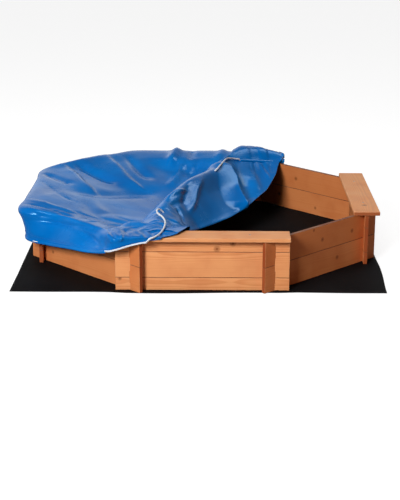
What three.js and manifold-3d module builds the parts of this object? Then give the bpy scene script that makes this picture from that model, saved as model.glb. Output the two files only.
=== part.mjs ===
// Octagonal wooden sandbox with four corner seats, a ground sheet and a soft cover that is half turned back.
// Millimetres, +Z up. The origin is the middle of the octagon on the underside of the ground sheet,
// and the front seat faces -Y. Walls alternate: seat walls at the front, right, back and left, and
// diagonal walls between them. Boards cross near their ends and sit in notches in each other.
import * as THREE from 'three';
import { mergeVertices } from 'three/addons/utils/BufferGeometryUtils.js';
import Module from 'manifold-3d';

// Walls and seats
const wallApothem = 646; // from the middle to the centre plane of each wall
const boardThickness = 15;
const boardEar = 57.4; // how far each board runs past its crossings
const courseHeight = 100; // one full board and its seam
const courses = 2; // full boards in a diagonal wall
const seatWidth = 103;
const seatThickness = 15;
const seamGap = 0.3; // between faces that touch
const notchClearance = 0.5; // beside a crossing board

// Ground sheet
const groundThickness = 2;
const groundMargin = 12.5; // past the seats, on each side
const groundShift = { x: -10, y: 30 }; // the sheet lies a little off centre

// Seat screws
const screwSpacing = 352; // between the two screws of one seat
const screwHeadRadius = 4.5;
const screwHeadHeight = 3.5;
const screwShankRadius = 2.2;
const screwLength = 45;
const screwClearance = 0.3;
const screwRecess = 5; // length of each arm of the cross recess
const screwRecessWidth = 1.2;
const screwRecessDepth = 2;
const screwSegments = 14;

// Cover
const coverThickness = 3;
const coverAir = 3; // between the seats and the inside of the cover
const coverSideAir = 9; // between the seats' outer edges and the inside of the skirt
const coverFrontEnd = -150; // x where the cover's turned-back edge crosses the front seat
const coverBackOverhang = 35; // past the right end of the back seat
const skirtDrop = 114; // from the rim down to the hem
const creaseDrop = 113; // sag of the turned-back edge below the rim
const creaseBow = 30; // how far that edge bows aside, inwards at the front and outwards at the back
const creaseTurn = 0.52; // share of that edge's length where it changes the side that it bows to
const creaseSteepness = 0.55; // below 1 it falls steeply at its ends and runs level between
const creaseInset = 22; // both its ends, in from the rim along the seats
const creaseFrontDip = 6; // its front end, below the rim
const creaseBackDip = 10; // its back end, below the rim
const bowlSag = 26; // the cover's own sag between that edge and the rim
const leftPuff = 24; // how far the rim stands out past the left seat
const cornerPuff = 62; // the same at the back left wall, where the cover is pushed up
const cornerRise = 34; // and how far it stands up there
const backPuff = 6; // how far the rim stands out past the back seat
const hemFlare = 0.02; // share by which the hem is longer than the rim at a seat's corner
const hemTuck = 18; // how far the hem lies in from the seats' corners at a diagonal wall
const foldWidth = 235; // across the turned-back part
const foldRise = 108; // the turned-back part's ridge above the cover under it
const foldEndRise = 8; // the same at both ends, over the seats
const foldRoundness = 1.1; // above 1 the ridge is more pointed at its highest place
const foldAir = 12; // between the turned-back part and the cover under it
const foldSeatAir = 20; // more of it where the turned-back part crosses a seat

// Drawstring
const cordRadius = 4;
const cordAir = 2; // between the cord and the edge that it follows
const cordSides = 8;
const cordStep = 28; // length of one straight piece of the cord's mesh

// Values that follow from the sizes above
const wallHeight = courses * courseHeight;
const wallBase = groundThickness + seamGap;
const wallTop = wallBase + wallHeight;
const seatTop = wallTop + seatThickness;
const seatInner = wallApothem - seatWidth / 2;
const seatOuter = wallApothem + seatWidth / 2;
const eighthTurn = Math.PI / 4;
const crossing = wallApothem * Math.tan(eighthTurn / 2); // from a wall's middle to each crossing
const boardLength = 2 * (crossing + boardEar);
const notchDepth = courseHeight / 4;

const wallNames = ['front', 'front_right', 'right', 'back_right', 'back', 'back_left', 'left', 'front_left'];
const wallCount = wallNames.length;

const wasm = await Module();
wasm.setup();

const materials = {
  board: new THREE.MeshStandardMaterial({ color: '#c9814a', roughness: 0.72, metalness: 0 }),
  seat: new THREE.MeshStandardMaterial({ color: '#d38f58', roughness: 0.68, metalness: 0 }),
  screw: new THREE.MeshStandardMaterial({ color: '#a9a596', roughness: 0.4, metalness: 1 }),
  ground: new THREE.MeshStandardMaterial({ color: '#0d0d0e', roughness: 0.8, metalness: 0 }),
  cover: new THREE.MeshStandardMaterial({ color: '#0a5cb4', roughness: 0.38, metalness: 0 }),
  cord: new THREE.MeshStandardMaterial({ color: '#eef0f2', roughness: 0.75, metalness: 0 }),
};

const sandbox = new THREE.Group();

// A manifold-3d solid from a three.js geometry, placed by a matrix.
function solidFrom(geometry, matrix = new THREE.Matrix4()) {
  const bare = new THREE.BufferGeometry();
  const source = geometry.index ? geometry.toNonIndexed() : geometry;
  bare.setAttribute('position', source.getAttribute('position').clone());
  bare.applyMatrix4(matrix);
  const merged = mergeVertices(bare, 1e-4);
  return new wasm.Manifold(
    new wasm.Mesh({
      numProp: 3,
      vertProperties: merged.attributes.position.array,
      triVerts: new Uint32Array(merged.index.array),
    }),
  );
}

// A box between two corners, turned about Z through (pivotX, pivotY).
function boxSolid(low, high, turn = 0, pivotX = 0, pivotY = 0) {
  const box = new THREE.BoxGeometry(high[0] - low[0], high[1] - low[1], high[2] - low[2]);
  const place = new THREE.Matrix4().makeTranslation(pivotX, pivotY, 0);
  place.multiply(new THREE.Matrix4().makeRotationZ(turn));
  const middle = low.map((value, axis) => (value + high[axis]) / 2);
  place.multiply(new THREE.Matrix4().makeTranslation(...middle));
  return solidFrom(box, place);
}

// A named mesh of a solid, added to a group.
function addMesh(group, name, solid, material) {
  const mesh = solid.getMesh();
  const geometry = new THREE.BufferGeometry();
  geometry.setAttribute('position', new THREE.BufferAttribute(new Float32Array(mesh.vertProperties), 3));
  geometry.setIndex(new THREE.BufferAttribute(new Uint32Array(mesh.triVerts), 1));
  geometry.computeVertexNormals();
  const part = new THREE.Mesh(geometry, material);
  part.name = name;
  group.add(part);
}

// The triangles of a cap over one ring of points, as a fan from its first point.
function fanCap(count) {
  return Array.from({ length: count - 2 }, (_, i) => [0, i + 2, i + 1]).flat();
}

// The same for a thin ring, whose first half is an outer edge and whose second half is the inner one.
function stripCap(count) {
  const steps = Array.from({ length: count / 2 - 1 }, (_, i) => i);
  return steps.flatMap((i) => [i, count - 2 - i, i + 1, i, count - 1 - i, count - 2 - i]);
}

// A closed solid from rings of points, each ring joined to the next one, with a cap over both ends.
function addLoft(rings, cap, material, name) {
  const count = rings[0].length;
  const positions = rings.flat().flatMap((point) => [point.x, point.y, point.z]);
  const last = (rings.length - 1) * count;
  const triangles = [...cap, ...cap.map((corner) => last + corner).reverse()];
  for (let r = 0; r + 1 < rings.length; r++) {
    for (let i = 0; i < count; i++) {
      const a = r * count + i;
      const b = r * count + ((i + 1) % count);
      triangles.push(a, b, b + count, a, b + count, a + count);
    }
  }
  const geometry = new THREE.BufferGeometry();
  geometry.setAttribute('position', new THREE.Float32BufferAttribute(positions, 3));
  geometry.setIndex(triangles);
  geometry.computeVertexNormals();
  const part = new THREE.Mesh(geometry, material);
  part.name = name;
  sandbox.add(part);
}

// ---- Screws ----

function screwProfile(extra) {
  const head = screwHeadRadius + extra;
  const shank = screwShankRadius + extra;
  const tip = -screwLength - extra;
  return [
    new THREE.Vector2(0, tip),
    new THREE.Vector2(shank * 0.4, tip),
    new THREE.Vector2(shank, tip + shank * 1.5),
    new THREE.Vector2(shank, -screwHeadHeight),
    new THREE.Vector2(head, -extra),
    new THREE.Vector2(head, extra),
    new THREE.Vector2(0, extra),
  ];
}

// A countersunk screw, or with extra its hole, pointing down with its head's top at (x, y, z).
function screwSolid(x, y, z, extra = 0) {
  const lathe = new THREE.LatheGeometry(screwProfile(extra), screwSegments);
  const place = new THREE.Matrix4().makeTranslation(x, y, z);
  place.multiply(new THREE.Matrix4().makeRotationX(Math.PI / 2));
  return solidFrom(lathe, place);
}

function crossRecess(x, y, z) {
  const arm = screwRecess / 2;
  const half = screwRecessWidth / 2;
  const depth = screwRecessDepth;
  const one = boxSolid([x - arm, y - half, z - depth], [x + arm, y + half, z + 1]);
  const other = boxSolid([x - half, y - arm, z - depth], [x + half, y + arm, z + 1]);
  return one.add(other);
}

const screwX = [-screwSpacing / 2, screwSpacing / 2];
const screwTop = seatTop - seamGap;

function screwHoles() {
  const [first, second] = screwX.map((x) => screwSolid(x, -wallApothem, screwTop, screwClearance));
  const above = screwX.map((x) => {
    const r = screwHeadRadius;
    return boxSolid([x - r, -wallApothem - r, seatTop], [x + r, -wallApothem + r, seatTop + 5]);
  });
  return first.add(second).add(above[0]).add(above[1]);
}

// ---- Walls, built facing -Y and turned into place by their group ----

// Heights above the wall's base that a board keeps at each crossing.
function keptAtCrossing(low, high, isSeatWall) {
  const keepLow = isSeatWall && low === 0 ? low : low + notchDepth + seamGap / 2;
  const keepHigh = isSeatWall && high === wallHeight ? high : high - notchDepth - seamGap / 2;
  return { keepLow, keepHigh };
}

function boardSolid(low, high, isSeatWall) {
  const half = boardThickness / 2;
  const bottom = wallBase + low;
  const top = wallBase + high - seamGap;
  let board = boxSolid(
    [-boardLength / 2, -wallApothem - half, bottom],
    [boardLength / 2, -wallApothem + half, top],
  );
  const { keepLow, keepHigh } = keptAtCrossing(low, high, isSeatWall);
  const slot = half + notchClearance;
  const reach = boardThickness * 2;
  const levels = [
    [low - 1, keepLow],
    [keepHigh, high + 1],
  ].filter(([from, to]) => to > low && from < high - seamGap);
  for (const side of [-1, 1]) {
    for (const [from, to] of levels) {
      const cut = boxSolid(
        [-reach, -slot, wallBase + from],
        [reach, slot, wallBase + to],
        side * eighthTurn,
        side * crossing,
        -wallApothem,
      );
      board = board.subtract(cut);
    }
  }
  return board;
}

function seatWallCourses() {
  const half = courseHeight / 2;
  const rows = [{ name: 'bottom_board', low: 0, high: half }];
  for (let i = 0; i + 1 < courses; i++) {
    const label = courses > 2 ? `middle_board_${i + 1}` : 'middle_board';
    rows.push({ name: label, low: half + i * courseHeight, high: half + (i + 1) * courseHeight });
  }
  rows.push({ name: 'top_board', low: wallHeight - half, high: wallHeight });
  return rows;
}

function diagonalWallCourses() {
  const labels = courses === 2 ? ['lower_board', 'upper_board'] : [];
  return Array.from({ length: courses }, (_, i) => ({
    name: labels[i] ?? `board_${i + 1}`,
    low: i * courseHeight,
    high: (i + 1) * courseHeight,
  }));
}

function addWall(index) {
  const isSeatWall = index % 2 === 0;
  const wall = new THREE.Group();
  wall.rotation.z = index * eighthTurn;
  const rows = isSeatWall ? seatWallCourses() : diagonalWallCourses();
  for (const row of rows) {
    let board = boardSolid(row.low, row.high, isSeatWall);
    if (isSeatWall && row.high === wallHeight) {
      board = board.subtract(screwHoles());
    }
    addMesh(wall, `${wallNames[index]}_wall_${row.name}`, board, materials.board);
  }
  if (isSeatWall) {
    addSeat(wall, wallNames[index]);
  }
  sandbox.add(wall);
}

function addSeat(wall, side) {
  const plank = boxSolid([-boardLength / 2, -seatOuter, wallTop], [boardLength / 2, -seatInner, seatTop]);
  addMesh(wall, `${side}_seat`, plank.subtract(screwHoles()), materials.seat);
  screwX.forEach((x, i) => {
    const screw = screwSolid(x, -wallApothem, screwTop).subtract(crossRecess(x, -wallApothem, screwTop));
    addMesh(wall, `${side}_seat_screw_${i + 1}`, screw, materials.screw);
  });
}

function addGroundSheet() {
  const half = seatOuter + groundMargin;
  const sheet = boxSolid(
    [groundShift.x - half, groundShift.y - half, 0],
    [groundShift.x + half, groundShift.y + half, groundThickness],
  );
  addMesh(sandbox, 'ground_sheet', sheet, materials.ground);
}

// ---- Cover ----

const rimTop = seatTop + coverAir + coverThickness;
const rimOut = seatOuter + coverSideAir + coverThickness;
const rimIn = seatInner - coverSideAir;
const cornerAlong = boardLength / 2 + coverSideAir; // along a seat wall, at a seat's end
const diagonalIn = wallApothem - boardThickness / 2 - coverSideAir;
const diagonalOut = wallApothem + boardThickness / 2 + coverSideAir + coverThickness;
const cornerAcross = (rimOut + cornerAlong) * Math.SQRT1_2; // a seat's corner, seen from a diagonal wall
const diagonalTop = wallTop + coverAir + coverThickness;

// A point beside one wall: along it, out from the middle of the octagon, and up.
function besideWall(index, along, out, z) {
  return new THREE.Vector3(along, -out, z).applyAxisAngle(new THREE.Vector3(0, 0, 1), index * eighthTurn);
}

// One column of the cover runs from the turned-back edge over a rim and down the skirt to the hem.
// Each gives its wall, its place along the wall, and how far the rim puffs out and the hem rises.
const frontWall = 0;
const frontLeftWall = 7;
const leftWall = 6;
const backLeftWall = 5;
const backWall = 4;

function seatColumn(wall, along, { puff = 0, hemRise = 0, dip = 0 } = {}) {
  const inner = Math.sign(along) * Math.min(Math.abs(along), cornerAlong - coverSideAir * 3);
  const hemAlong = along * (Math.abs(along) >= cornerAlong ? 1 + hemFlare : 1);
  return {
    inner: besideWall(wall, inner, rimIn, rimTop - dip),
    outer: besideWall(wall, along, rimOut + puff, rimTop - dip),
    hem: besideWall(wall, hemAlong, rimOut - coverSideAir / 2, rimTop - dip - skirtDrop + hemRise),
  };
}

function diagonalColumn(wall, along, { puff = 0, rise = 0, hemRise = 0 } = {}) {
  return {
    inner: besideWall(wall, along * 0.85, diagonalIn, diagonalTop + rise / 2),
    outer: besideWall(wall, along, diagonalOut + puff, diagonalTop + rise),
    hem: besideWall(wall, along, cornerAcross - hemTuck + puff / 3, diagonalTop - skirtDrop + hemRise),
  };
}

const diagonalAlong = wallApothem * 0.2;
const seatAlong = boardLength / 4;
const backEnd = -boardLength / 2 - coverBackOverhang;
const pushedUp = { puff: cornerPuff, rise: cornerRise, hemRise: skirtDrop * 0.07 };

function coverColumns() {
  return [
    seatColumn(frontWall, coverFrontEnd, { hemRise: skirtDrop * 0.93 }),
    seatColumn(frontWall, (coverFrontEnd - cornerAlong) / 2, { hemRise: skirtDrop * 0.8 }),
    seatColumn(frontWall, -cornerAlong, { hemRise: skirtDrop * 0.55 }),
    diagonalColumn(frontLeftWall, diagonalAlong, { hemRise: skirtDrop * 0.37 }),
    diagonalColumn(frontLeftWall, 0, { hemRise: skirtDrop * 0.25 }),
    diagonalColumn(frontLeftWall, -diagonalAlong, { hemRise: skirtDrop * 0.13 }),
    seatColumn(leftWall, cornerAlong, { puff: leftPuff * 0.6 }),
    seatColumn(leftWall, seatAlong, { puff: leftPuff }),
    seatColumn(leftWall, 0, { puff: leftPuff }),
    seatColumn(leftWall, -seatAlong, { puff: leftPuff }),
    seatColumn(leftWall, -cornerAlong, { puff: leftPuff * 0.8 }),
    diagonalColumn(backLeftWall, diagonalAlong, pushedUp),
    diagonalColumn(backLeftWall, 0, pushedUp),
    diagonalColumn(backLeftWall, -diagonalAlong, { ...pushedUp, rise: cornerRise * 0.8 }),
    seatColumn(backWall, cornerAlong, { puff: backPuff }),
    seatColumn(backWall, seatAlong, { puff: backPuff }),
    seatColumn(backWall, 0, { puff: backPuff }),
    seatColumn(backWall, -seatAlong, { puff: backPuff }),
    seatColumn(backWall, -cornerAlong, { puff: backPuff, hemRise: skirtDrop * 0.1 }),
    seatColumn(backWall, backEnd, { dip: creaseFrontDip, hemRise: skirtDrop * 0.4 }),
  ];
}

const columns = coverColumns();

// The turned-back edge: from the front seat it sags over the sand and rises to the back seat's right end.
function creasePoint(u) {
  const frontX = coverFrontEnd + creaseInset;
  const backX = boardLength / 2 + coverBackOverhang / 2;
  const front = new THREE.Vector3(frontX, -rimIn + creaseInset, rimTop - creaseFrontDip);
  const back = new THREE.Vector3(backX, rimIn - creaseInset, rimTop - creaseBackDip);
  const point = front.clone().lerp(back, u);
  const across = new THREE.Vector3(back.y - front.y, front.x - back.x, 0).normalize();
  const sag = Math.sin(Math.PI * u) ** creaseSteepness;
  point.addScaledVector(across, creaseBow * Math.sin(2 * Math.PI * (u - creaseTurn)) * sag);
  point.z -= creaseDrop * sag;
  return point;
}

const bowlSteps = [1 / 3, 2 / 3]; // shares of the way from that edge to the rim

// The rows of one column, from the turned-back edge outwards and down to the hem.
function columnRows(column, u) {
  const edge = creasePoint(u);
  const span = edge.distanceTo(column.inner) / (rimIn * 2);
  const bowl = bowlSteps.map((step) => {
    const point = edge.clone().lerp(column.inner, step);
    point.z -= bowlSag * span * 4 * step * (1 - step);
    return point;
  });
  const middle = column.outer.clone().lerp(column.hem, 0.5);
  return [edge, ...bowl, column.inner, column.outer, middle, column.hem];
}

const coverRows = columns.map((column, i) => columnRows(column, i / (columns.length - 1)));

// The direction away from the sand and the seats at one grid point of the cover.
function outwardAt(rows, c, r) {
  const along = rows[Math.min(c + 1, rows.length - 1)][r].clone().sub(rows[Math.max(c - 1, 0)][r]);
  const down = rows[c][Math.min(r + 1, rows[c].length - 1)].clone().sub(rows[c][Math.max(r - 1, 0)]);
  return down.cross(along).normalize();
}

// A thin closed solid: the rows are its outer face, and its inner face lies a thickness inside it.
function addCoverSheet() {
  const rings = coverRows.map((column, c) => {
    const inside = column.map((point, r) => {
      return point.clone().addScaledVector(outwardAt(coverRows, c, r), -coverThickness);
    });
    return [...column, ...inside.reverse()];
  });
  addLoft(rings, stripCap(rings[0].length), materials.cover, 'cover_sheet');
}

// A point on one column of the cover's outer face: 0 at the turned-back edge, 1 at the inner rim, 2 outside.
function onCover(c, t) {
  const rows = coverRows[c];
  const place = t <= 1 ? t * (bowlSteps.length + 1) : bowlSteps.length + t;
  const row = Math.min(Math.floor(place), rows.length - 2);
  return rows[row].clone().lerp(rows[row + 1], place - row);
}

// How far across its column the turned-back part reaches: over the seats at both ends.
function foldReach(c) {
  const rows = coverRows[c];
  const inner = rows[0].distanceTo(rows[bowlSteps.length + 1]);
  return inner < foldWidth ? Math.min(2, 1 + (foldWidth - inner) / (rimOut - rimIn)) : foldWidth / inner;
}

// The upper side of the turned-back part: share of its reach across, and share of its height up.
const foldShape = [
  [0.02, 0.04],
  [0.0, 0.34],
  [0.16, 0.7],
  [0.42, 0.94],
  [0.62, 1.0],
  [0.82, 0.7],
  [0.96, 0.22],
  [1.0, 0.02],
];
const foldRidge = 4; // the highest point of that shape

// One cross-section of the turned-back part, from its edge over the ridge and back along its underside.
function foldRing(c) {
  const u = c / (columns.length - 1);
  const reach = foldReach(c);
  const height = foldEndRise + (foldRise - foldEndRise) * Math.sin(Math.PI * u) ** foldRoundness;
  const under = reach > 1 ? 1 / reach : 0.7;
  const air = reach > 0.85 ? foldAir + foldSeatAir : foldAir;
  const underside = [
    [under, 0],
    [under / 2, 0],
  ];
  return [...foldShape, ...underside].map(([across, up]) => {
    const point = onCover(c, across * reach);
    point.z += air + up * height;
    return point;
  });
}

function addFoldedPart() {
  const rings = columns.map((_, c) => foldRing(c)).slice(1, -1);
  addLoft(rings.reverse(), fanCap(rings[0].length), materials.cover, 'cover_folded_part');
}

// ---- Drawstring, from its end at the front over the hem, round the cover and back across the fold ----

function cordRoute() {
  const down = new THREE.Vector3(0, 0, -(cordRadius + cordAir));
  const up = new THREE.Vector3(0, 0, cordRadius + cordAir);
  const hem = coverRows.map((rows) => rows[rows.length - 1].clone().add(down));
  const ridge = columns.map((_, c) => {
    return foldRing(c)[foldRidge].addScaledVector(up, 1.5);
  });
  const aside = new THREE.Vector3(cordRadius + cordAir * 3, 0, 0);
  const frontEdge = [2, 1.4].map((t) => onCover(0, t).add(aside).add(up));
  const backEdge = [2, 1.5].map((t) => onCover(columns.length - 1, t).add(aside).add(up));
  return [
    ...frontEdge.reverse(),
    hem[0].clone().add(aside),
    ...hem.slice(1, -1),
    hem[hem.length - 1].clone().add(aside),
    ...backEdge,
    ...ridge.slice(2, -1).reverse(),
  ];
}

function addDrawstring() {
  const path = new THREE.CatmullRomCurve3(cordRoute(), false, 'centripetal');
  const section = new THREE.Shape();
  for (let i = 0; i < cordSides; i++) {
    const angle = (i / cordSides) * Math.PI * 2;
    const place = [cordRadius * Math.cos(angle), cordRadius * Math.sin(angle)];
    if (i === 0) {
      section.moveTo(...place);
    } else {
      section.lineTo(...place);
    }
  }
  const steps = Math.round(path.getLength() / cordStep);
  const tube = new THREE.ExtrudeGeometry(section, { steps, extrudePath: path, curveSegments: 1 });
  addMesh(sandbox, 'cover_drawstring', solidFrom(tube), materials.cord);
}

for (let index = 0; index < wallCount; index++) {
  addWall(index);
}
addGroundSheet();
addCoverSheet();
addFoldedPart();
addDrawstring();

export default sandbox;
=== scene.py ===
"""Looks of an octagonal garden sandbox: stained boards and seats, a woven ground sheet and a soft cover.

Everything is in metres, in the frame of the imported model: +Z is up, the front seat faces -Y, and the origin
is the middle of the octagon on the underside of the ground sheet. Wall 0 is the front seat wall, and the
walls are counted anticlockwise from above, so walls 0, 2, 4 and 6 carry seats and the others are diagonal.
"""

import logging
import math
from dataclasses import dataclass, field
from enum import Enum
from typing import Optional, Sequence, Union

import bmesh
import bpy
import numpy as np
from mathutils import Matrix, Vector
from mathutils.geometry import delaunay_2d_cdt


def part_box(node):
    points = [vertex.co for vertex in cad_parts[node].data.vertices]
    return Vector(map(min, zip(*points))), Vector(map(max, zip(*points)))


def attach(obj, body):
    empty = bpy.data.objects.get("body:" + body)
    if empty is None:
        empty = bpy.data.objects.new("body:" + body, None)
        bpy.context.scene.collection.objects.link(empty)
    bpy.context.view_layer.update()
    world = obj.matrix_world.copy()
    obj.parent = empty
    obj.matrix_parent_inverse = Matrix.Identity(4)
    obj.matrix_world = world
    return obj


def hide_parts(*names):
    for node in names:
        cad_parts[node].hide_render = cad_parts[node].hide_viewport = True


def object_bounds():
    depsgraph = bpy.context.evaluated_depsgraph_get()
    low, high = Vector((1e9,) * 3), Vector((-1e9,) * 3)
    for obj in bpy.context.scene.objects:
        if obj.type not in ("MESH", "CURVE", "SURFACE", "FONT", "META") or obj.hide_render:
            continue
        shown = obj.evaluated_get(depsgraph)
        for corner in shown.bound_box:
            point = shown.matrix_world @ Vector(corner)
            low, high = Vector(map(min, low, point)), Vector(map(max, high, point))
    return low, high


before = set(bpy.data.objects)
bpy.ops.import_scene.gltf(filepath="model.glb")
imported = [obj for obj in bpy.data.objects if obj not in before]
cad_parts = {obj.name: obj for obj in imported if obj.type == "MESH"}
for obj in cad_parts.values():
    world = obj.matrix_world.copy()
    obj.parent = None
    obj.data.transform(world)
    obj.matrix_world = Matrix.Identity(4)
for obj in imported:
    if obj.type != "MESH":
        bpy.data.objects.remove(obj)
CAD_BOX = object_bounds()
LOG = logging.getLogger("sandbox")

Colour = tuple[float, float, float]
Place = tuple[float, float, float]
Socket = bpy.types.NodeSocket
Value = Union[Socket, float, int, Sequence[float]]

MM = 0.001
WALLS = ("front", "front_right", "right", "back_right", "back", "back_left", "left", "front_left")
EIGHTH_TURN = math.pi / 4
MAX_KNOTS = 3
SEED = 11


def linear(red: int, green: int, blue: int) -> Colour:
    """A display colour, 0 to 255 in each channel, as a linear one."""
    shares = [channel / 255 for channel in (red, green, blue)]
    return tuple(((c + 0.055) / 1.055) ** 2.4 if c > 0.04 else c / 12.92 for c in shares)


def beside_wall(wall: int, along: float, out: float, up: float) -> Vector:
    """A point beside a wall: along it, out from the middle of the octagon, and up."""
    return Matrix.Rotation(wall * EIGHTH_TURN, 3, "Z") @ Vector((along, -out, up))


def from_wall(points: np.ndarray, wall: int) -> tuple[np.ndarray, np.ndarray]:
    """Where points lie beside a wall.

    Args:
        points: The points, with the coordinates as last axis.
        wall: The wall's number.

    Returns:
        How far each point lies along the wall, and how far out from the middle of the octagon.
    """
    turn = -wall * EIGHTH_TURN
    x, y = points[..., 0], points[..., 1]
    return x * math.cos(turn) - y * math.sin(turn), -(x * math.sin(turn) + y * math.cos(turn))


def new_object(name: str, mesh: bpy.types.Mesh) -> bpy.types.Object:
    """Links a new object to the scene, at the origin.

    Args:
        name: The object's name.
        mesh: Its mesh.

    Returns:
        The new object.
    """
    made = bpy.data.objects.new(name, mesh)
    bpy.context.scene.collection.objects.link(made)
    return made


def modified_copy(source: bpy.types.Object) -> bpy.types.Mesh:
    """The mesh of an object as its modifiers leave it."""
    graph = bpy.context.evaluated_depsgraph_get()
    return bpy.data.meshes.new_from_object(source.evaluated_get(graph), depsgraph=graph)


def keep_modified(piece: bpy.types.Object) -> None:
    """Applies every modifier of a piece and removes them.

    Args:
        piece: The piece, which gets the finished mesh.
    """
    mesh = modified_copy(piece)
    piece.modifiers.clear()
    piece.data = mesh


def thicken(piece: bpy.types.Object, thickness: float, offset: float) -> None:
    """Gives a sheet its thickness, as a closed mesh.

    Args:
        piece: The sheet.
        thickness: Its thickness, in metres.
        offset: 1 to grow it on the side its faces look to, -1 on the other side.
    """
    solid = piece.modifiers.new("thickness", "SOLIDIFY")
    solid.thickness = thickness
    solid.offset = offset
    keep_modified(piece)


class Graph:
    """Adds nodes to one node tree and joins them."""

    def __init__(self, tree: bpy.types.NodeTree) -> None:
        """Keeps the tree that the nodes go into."""
        self.tree = tree

    def add(self, kind: str, inputs: Optional[dict] = None, **settings: object) -> bpy.types.Node:
        """Adds one node.

        Args:
            kind: The node's type name.
            inputs: A value or a socket for each input, by the input's name or number.
            settings: The node's own properties.

        Returns:
            The new node.
        """
        made = self.tree.nodes.new(kind)
        for name, value in settings.items():
            setattr(made, name, value)
        for key, value in (inputs or {}).items():
            self.feed(made.inputs[key], value)
        return made

    def feed(self, target: Socket, value: Value) -> None:
        """Joins a socket to an input, or sets the input's own value.

        Args:
            target: The input.
            value: A socket, or a plain value.
        """
        if isinstance(value, bpy.types.NodeSocket):
            self.tree.links.new(value, target)
        else:
            target.default_value = value

    def math(self, operation: str, *values: Value, clamp: bool = False) -> Socket:
        """The result of a Math node."""
        made = self.add("ShaderNodeMath", dict(enumerate(values)), operation=operation, use_clamp=clamp)
        return made.outputs[0]

    def plus(self, first: Value, second: Value, clamp: bool = False) -> Socket:
        """The sum of two values."""
        return self.math("ADD", first, second, clamp=clamp)

    def times(self, first: Value, second: Value, clamp: bool = False) -> Socket:
        """The product of two values."""
        return self.math("MULTIPLY", first, second, clamp=clamp)

    def squares(self, first: Value, second: Value) -> Socket:
        """The sum of two values' squares."""
        return self.plus(self.math("POWER", first, 2.0), self.math("POWER", second, 2.0))

    def split(self, value: Value) -> tuple[Socket, Socket, Socket]:
        """The three parts of a vector."""
        made = self.add("ShaderNodeSeparateXYZ", {0: value})
        return made.outputs[0], made.outputs[1], made.outputs[2]

    def join(self, x: Value, y: Value, z: Value) -> Socket:
        """A vector of three values."""
        return self.add("ShaderNodeCombineXYZ", {0: x, 1: y, 2: z}).outputs[0]

    def remap(
        self, value: Value, low: float, high: float, new_low: float = 0.0, new_high: float = 1.0
    ) -> Socket:
        """A value moved smoothly from one range into another."""
        ranges = {0: value, 1: low, 2: high, 3: new_low, 4: new_high}
        return self.add("ShaderNodeMapRange", ranges, interpolation_type="SMOOTHSTEP").outputs[0]

    def mix(self, share: Value, first: Value, second: Value, blend: str = "MIX") -> Socket:
        """Two colours mixed."""
        colours = {0: share, 6: self.opaque(first), 7: self.opaque(second)}
        return self.add("ShaderNodeMix", colours, data_type="RGBA", blend_type=blend).outputs[2]

    def noise(self, place: Value, scale: Value, detail: float = 3.0, roughness: float = 0.5) -> Socket:
        """The value of a Noise Texture, 0 to 1."""
        inputs = {"Vector": place, "Scale": scale, "Detail": detail, "Roughness": roughness}
        return self.add("ShaderNodeTexNoise", inputs).outputs[0]

    @staticmethod
    def opaque(colour: Value) -> Value:
        """A plain colour with an alpha of 1, or a socket as it is.

        Args:
            colour: A colour with or without alpha, or a socket.

        Returns:
            What can be fed to a colour input.
        """
        if isinstance(colour, bpy.types.NodeSocket) or len(colour) == 4:
            return colour
        return (*colour, 1.0)


class Group:
    """A shader node group with named inputs and outputs, built once and placed in several materials."""

    name = "Group"
    inputs: dict[str, tuple[str, object]] = {}
    outputs: dict[str, str] = {}

    @classmethod
    def tree(cls) -> bpy.types.NodeTree:
        """Makes the group's node tree when it is first asked for.

        Returns:
            The tree.
        """
        found = bpy.data.node_groups.get(cls.name)
        if found:
            return found
        tree = bpy.data.node_groups.new(cls.name, "ShaderNodeTree")
        for name, (kind, value) in cls.inputs.items():
            socket = tree.interface.new_socket(name, in_out="INPUT", socket_type=kind)
            if value is not None:
                socket.default_value = value
        for name, kind in cls.outputs.items():
            tree.interface.new_socket(name, in_out="OUTPUT", socket_type=kind)
        graph = Graph(tree)
        entry = graph.add("NodeGroupInput")
        leave = graph.add("NodeGroupOutput")
        results = cls.build(graph, {s.name: s for s in entry.outputs if s.name})
        for name, socket in results.items():
            graph.feed(leave.inputs[name], socket)
        return tree

    @classmethod
    def build(cls, graph: Graph, given: dict[str, Socket]) -> dict[str, Socket]:
        """Builds the group's inside.

        Args:
            graph: The graph of the group's tree.
            given: The group's inputs by name.

        Returns:
            A socket for each of the group's outputs, by name.
        """
        raise NotImplementedError

    @classmethod
    def place(cls, graph: Graph, **values: Value) -> bpy.types.Node:
        """Places the group in a material.

        Args:
            graph: The graph of the material's tree.
            values: A value or a socket for each input, by its name in lower case.

        Returns:
            The group's node.
        """
        node = graph.add("ShaderNodeGroup", node_tree=cls.tree())
        for socket in node.inputs:
            key = socket.name.lower().replace(" ", "_")
            if key in values:
                value = values[key]
                colour = socket.type == "RGBA" and not isinstance(value, bpy.types.NodeSocket)
                graph.feed(socket, graph.opaque(value) if colour else value)
        return node


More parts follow.
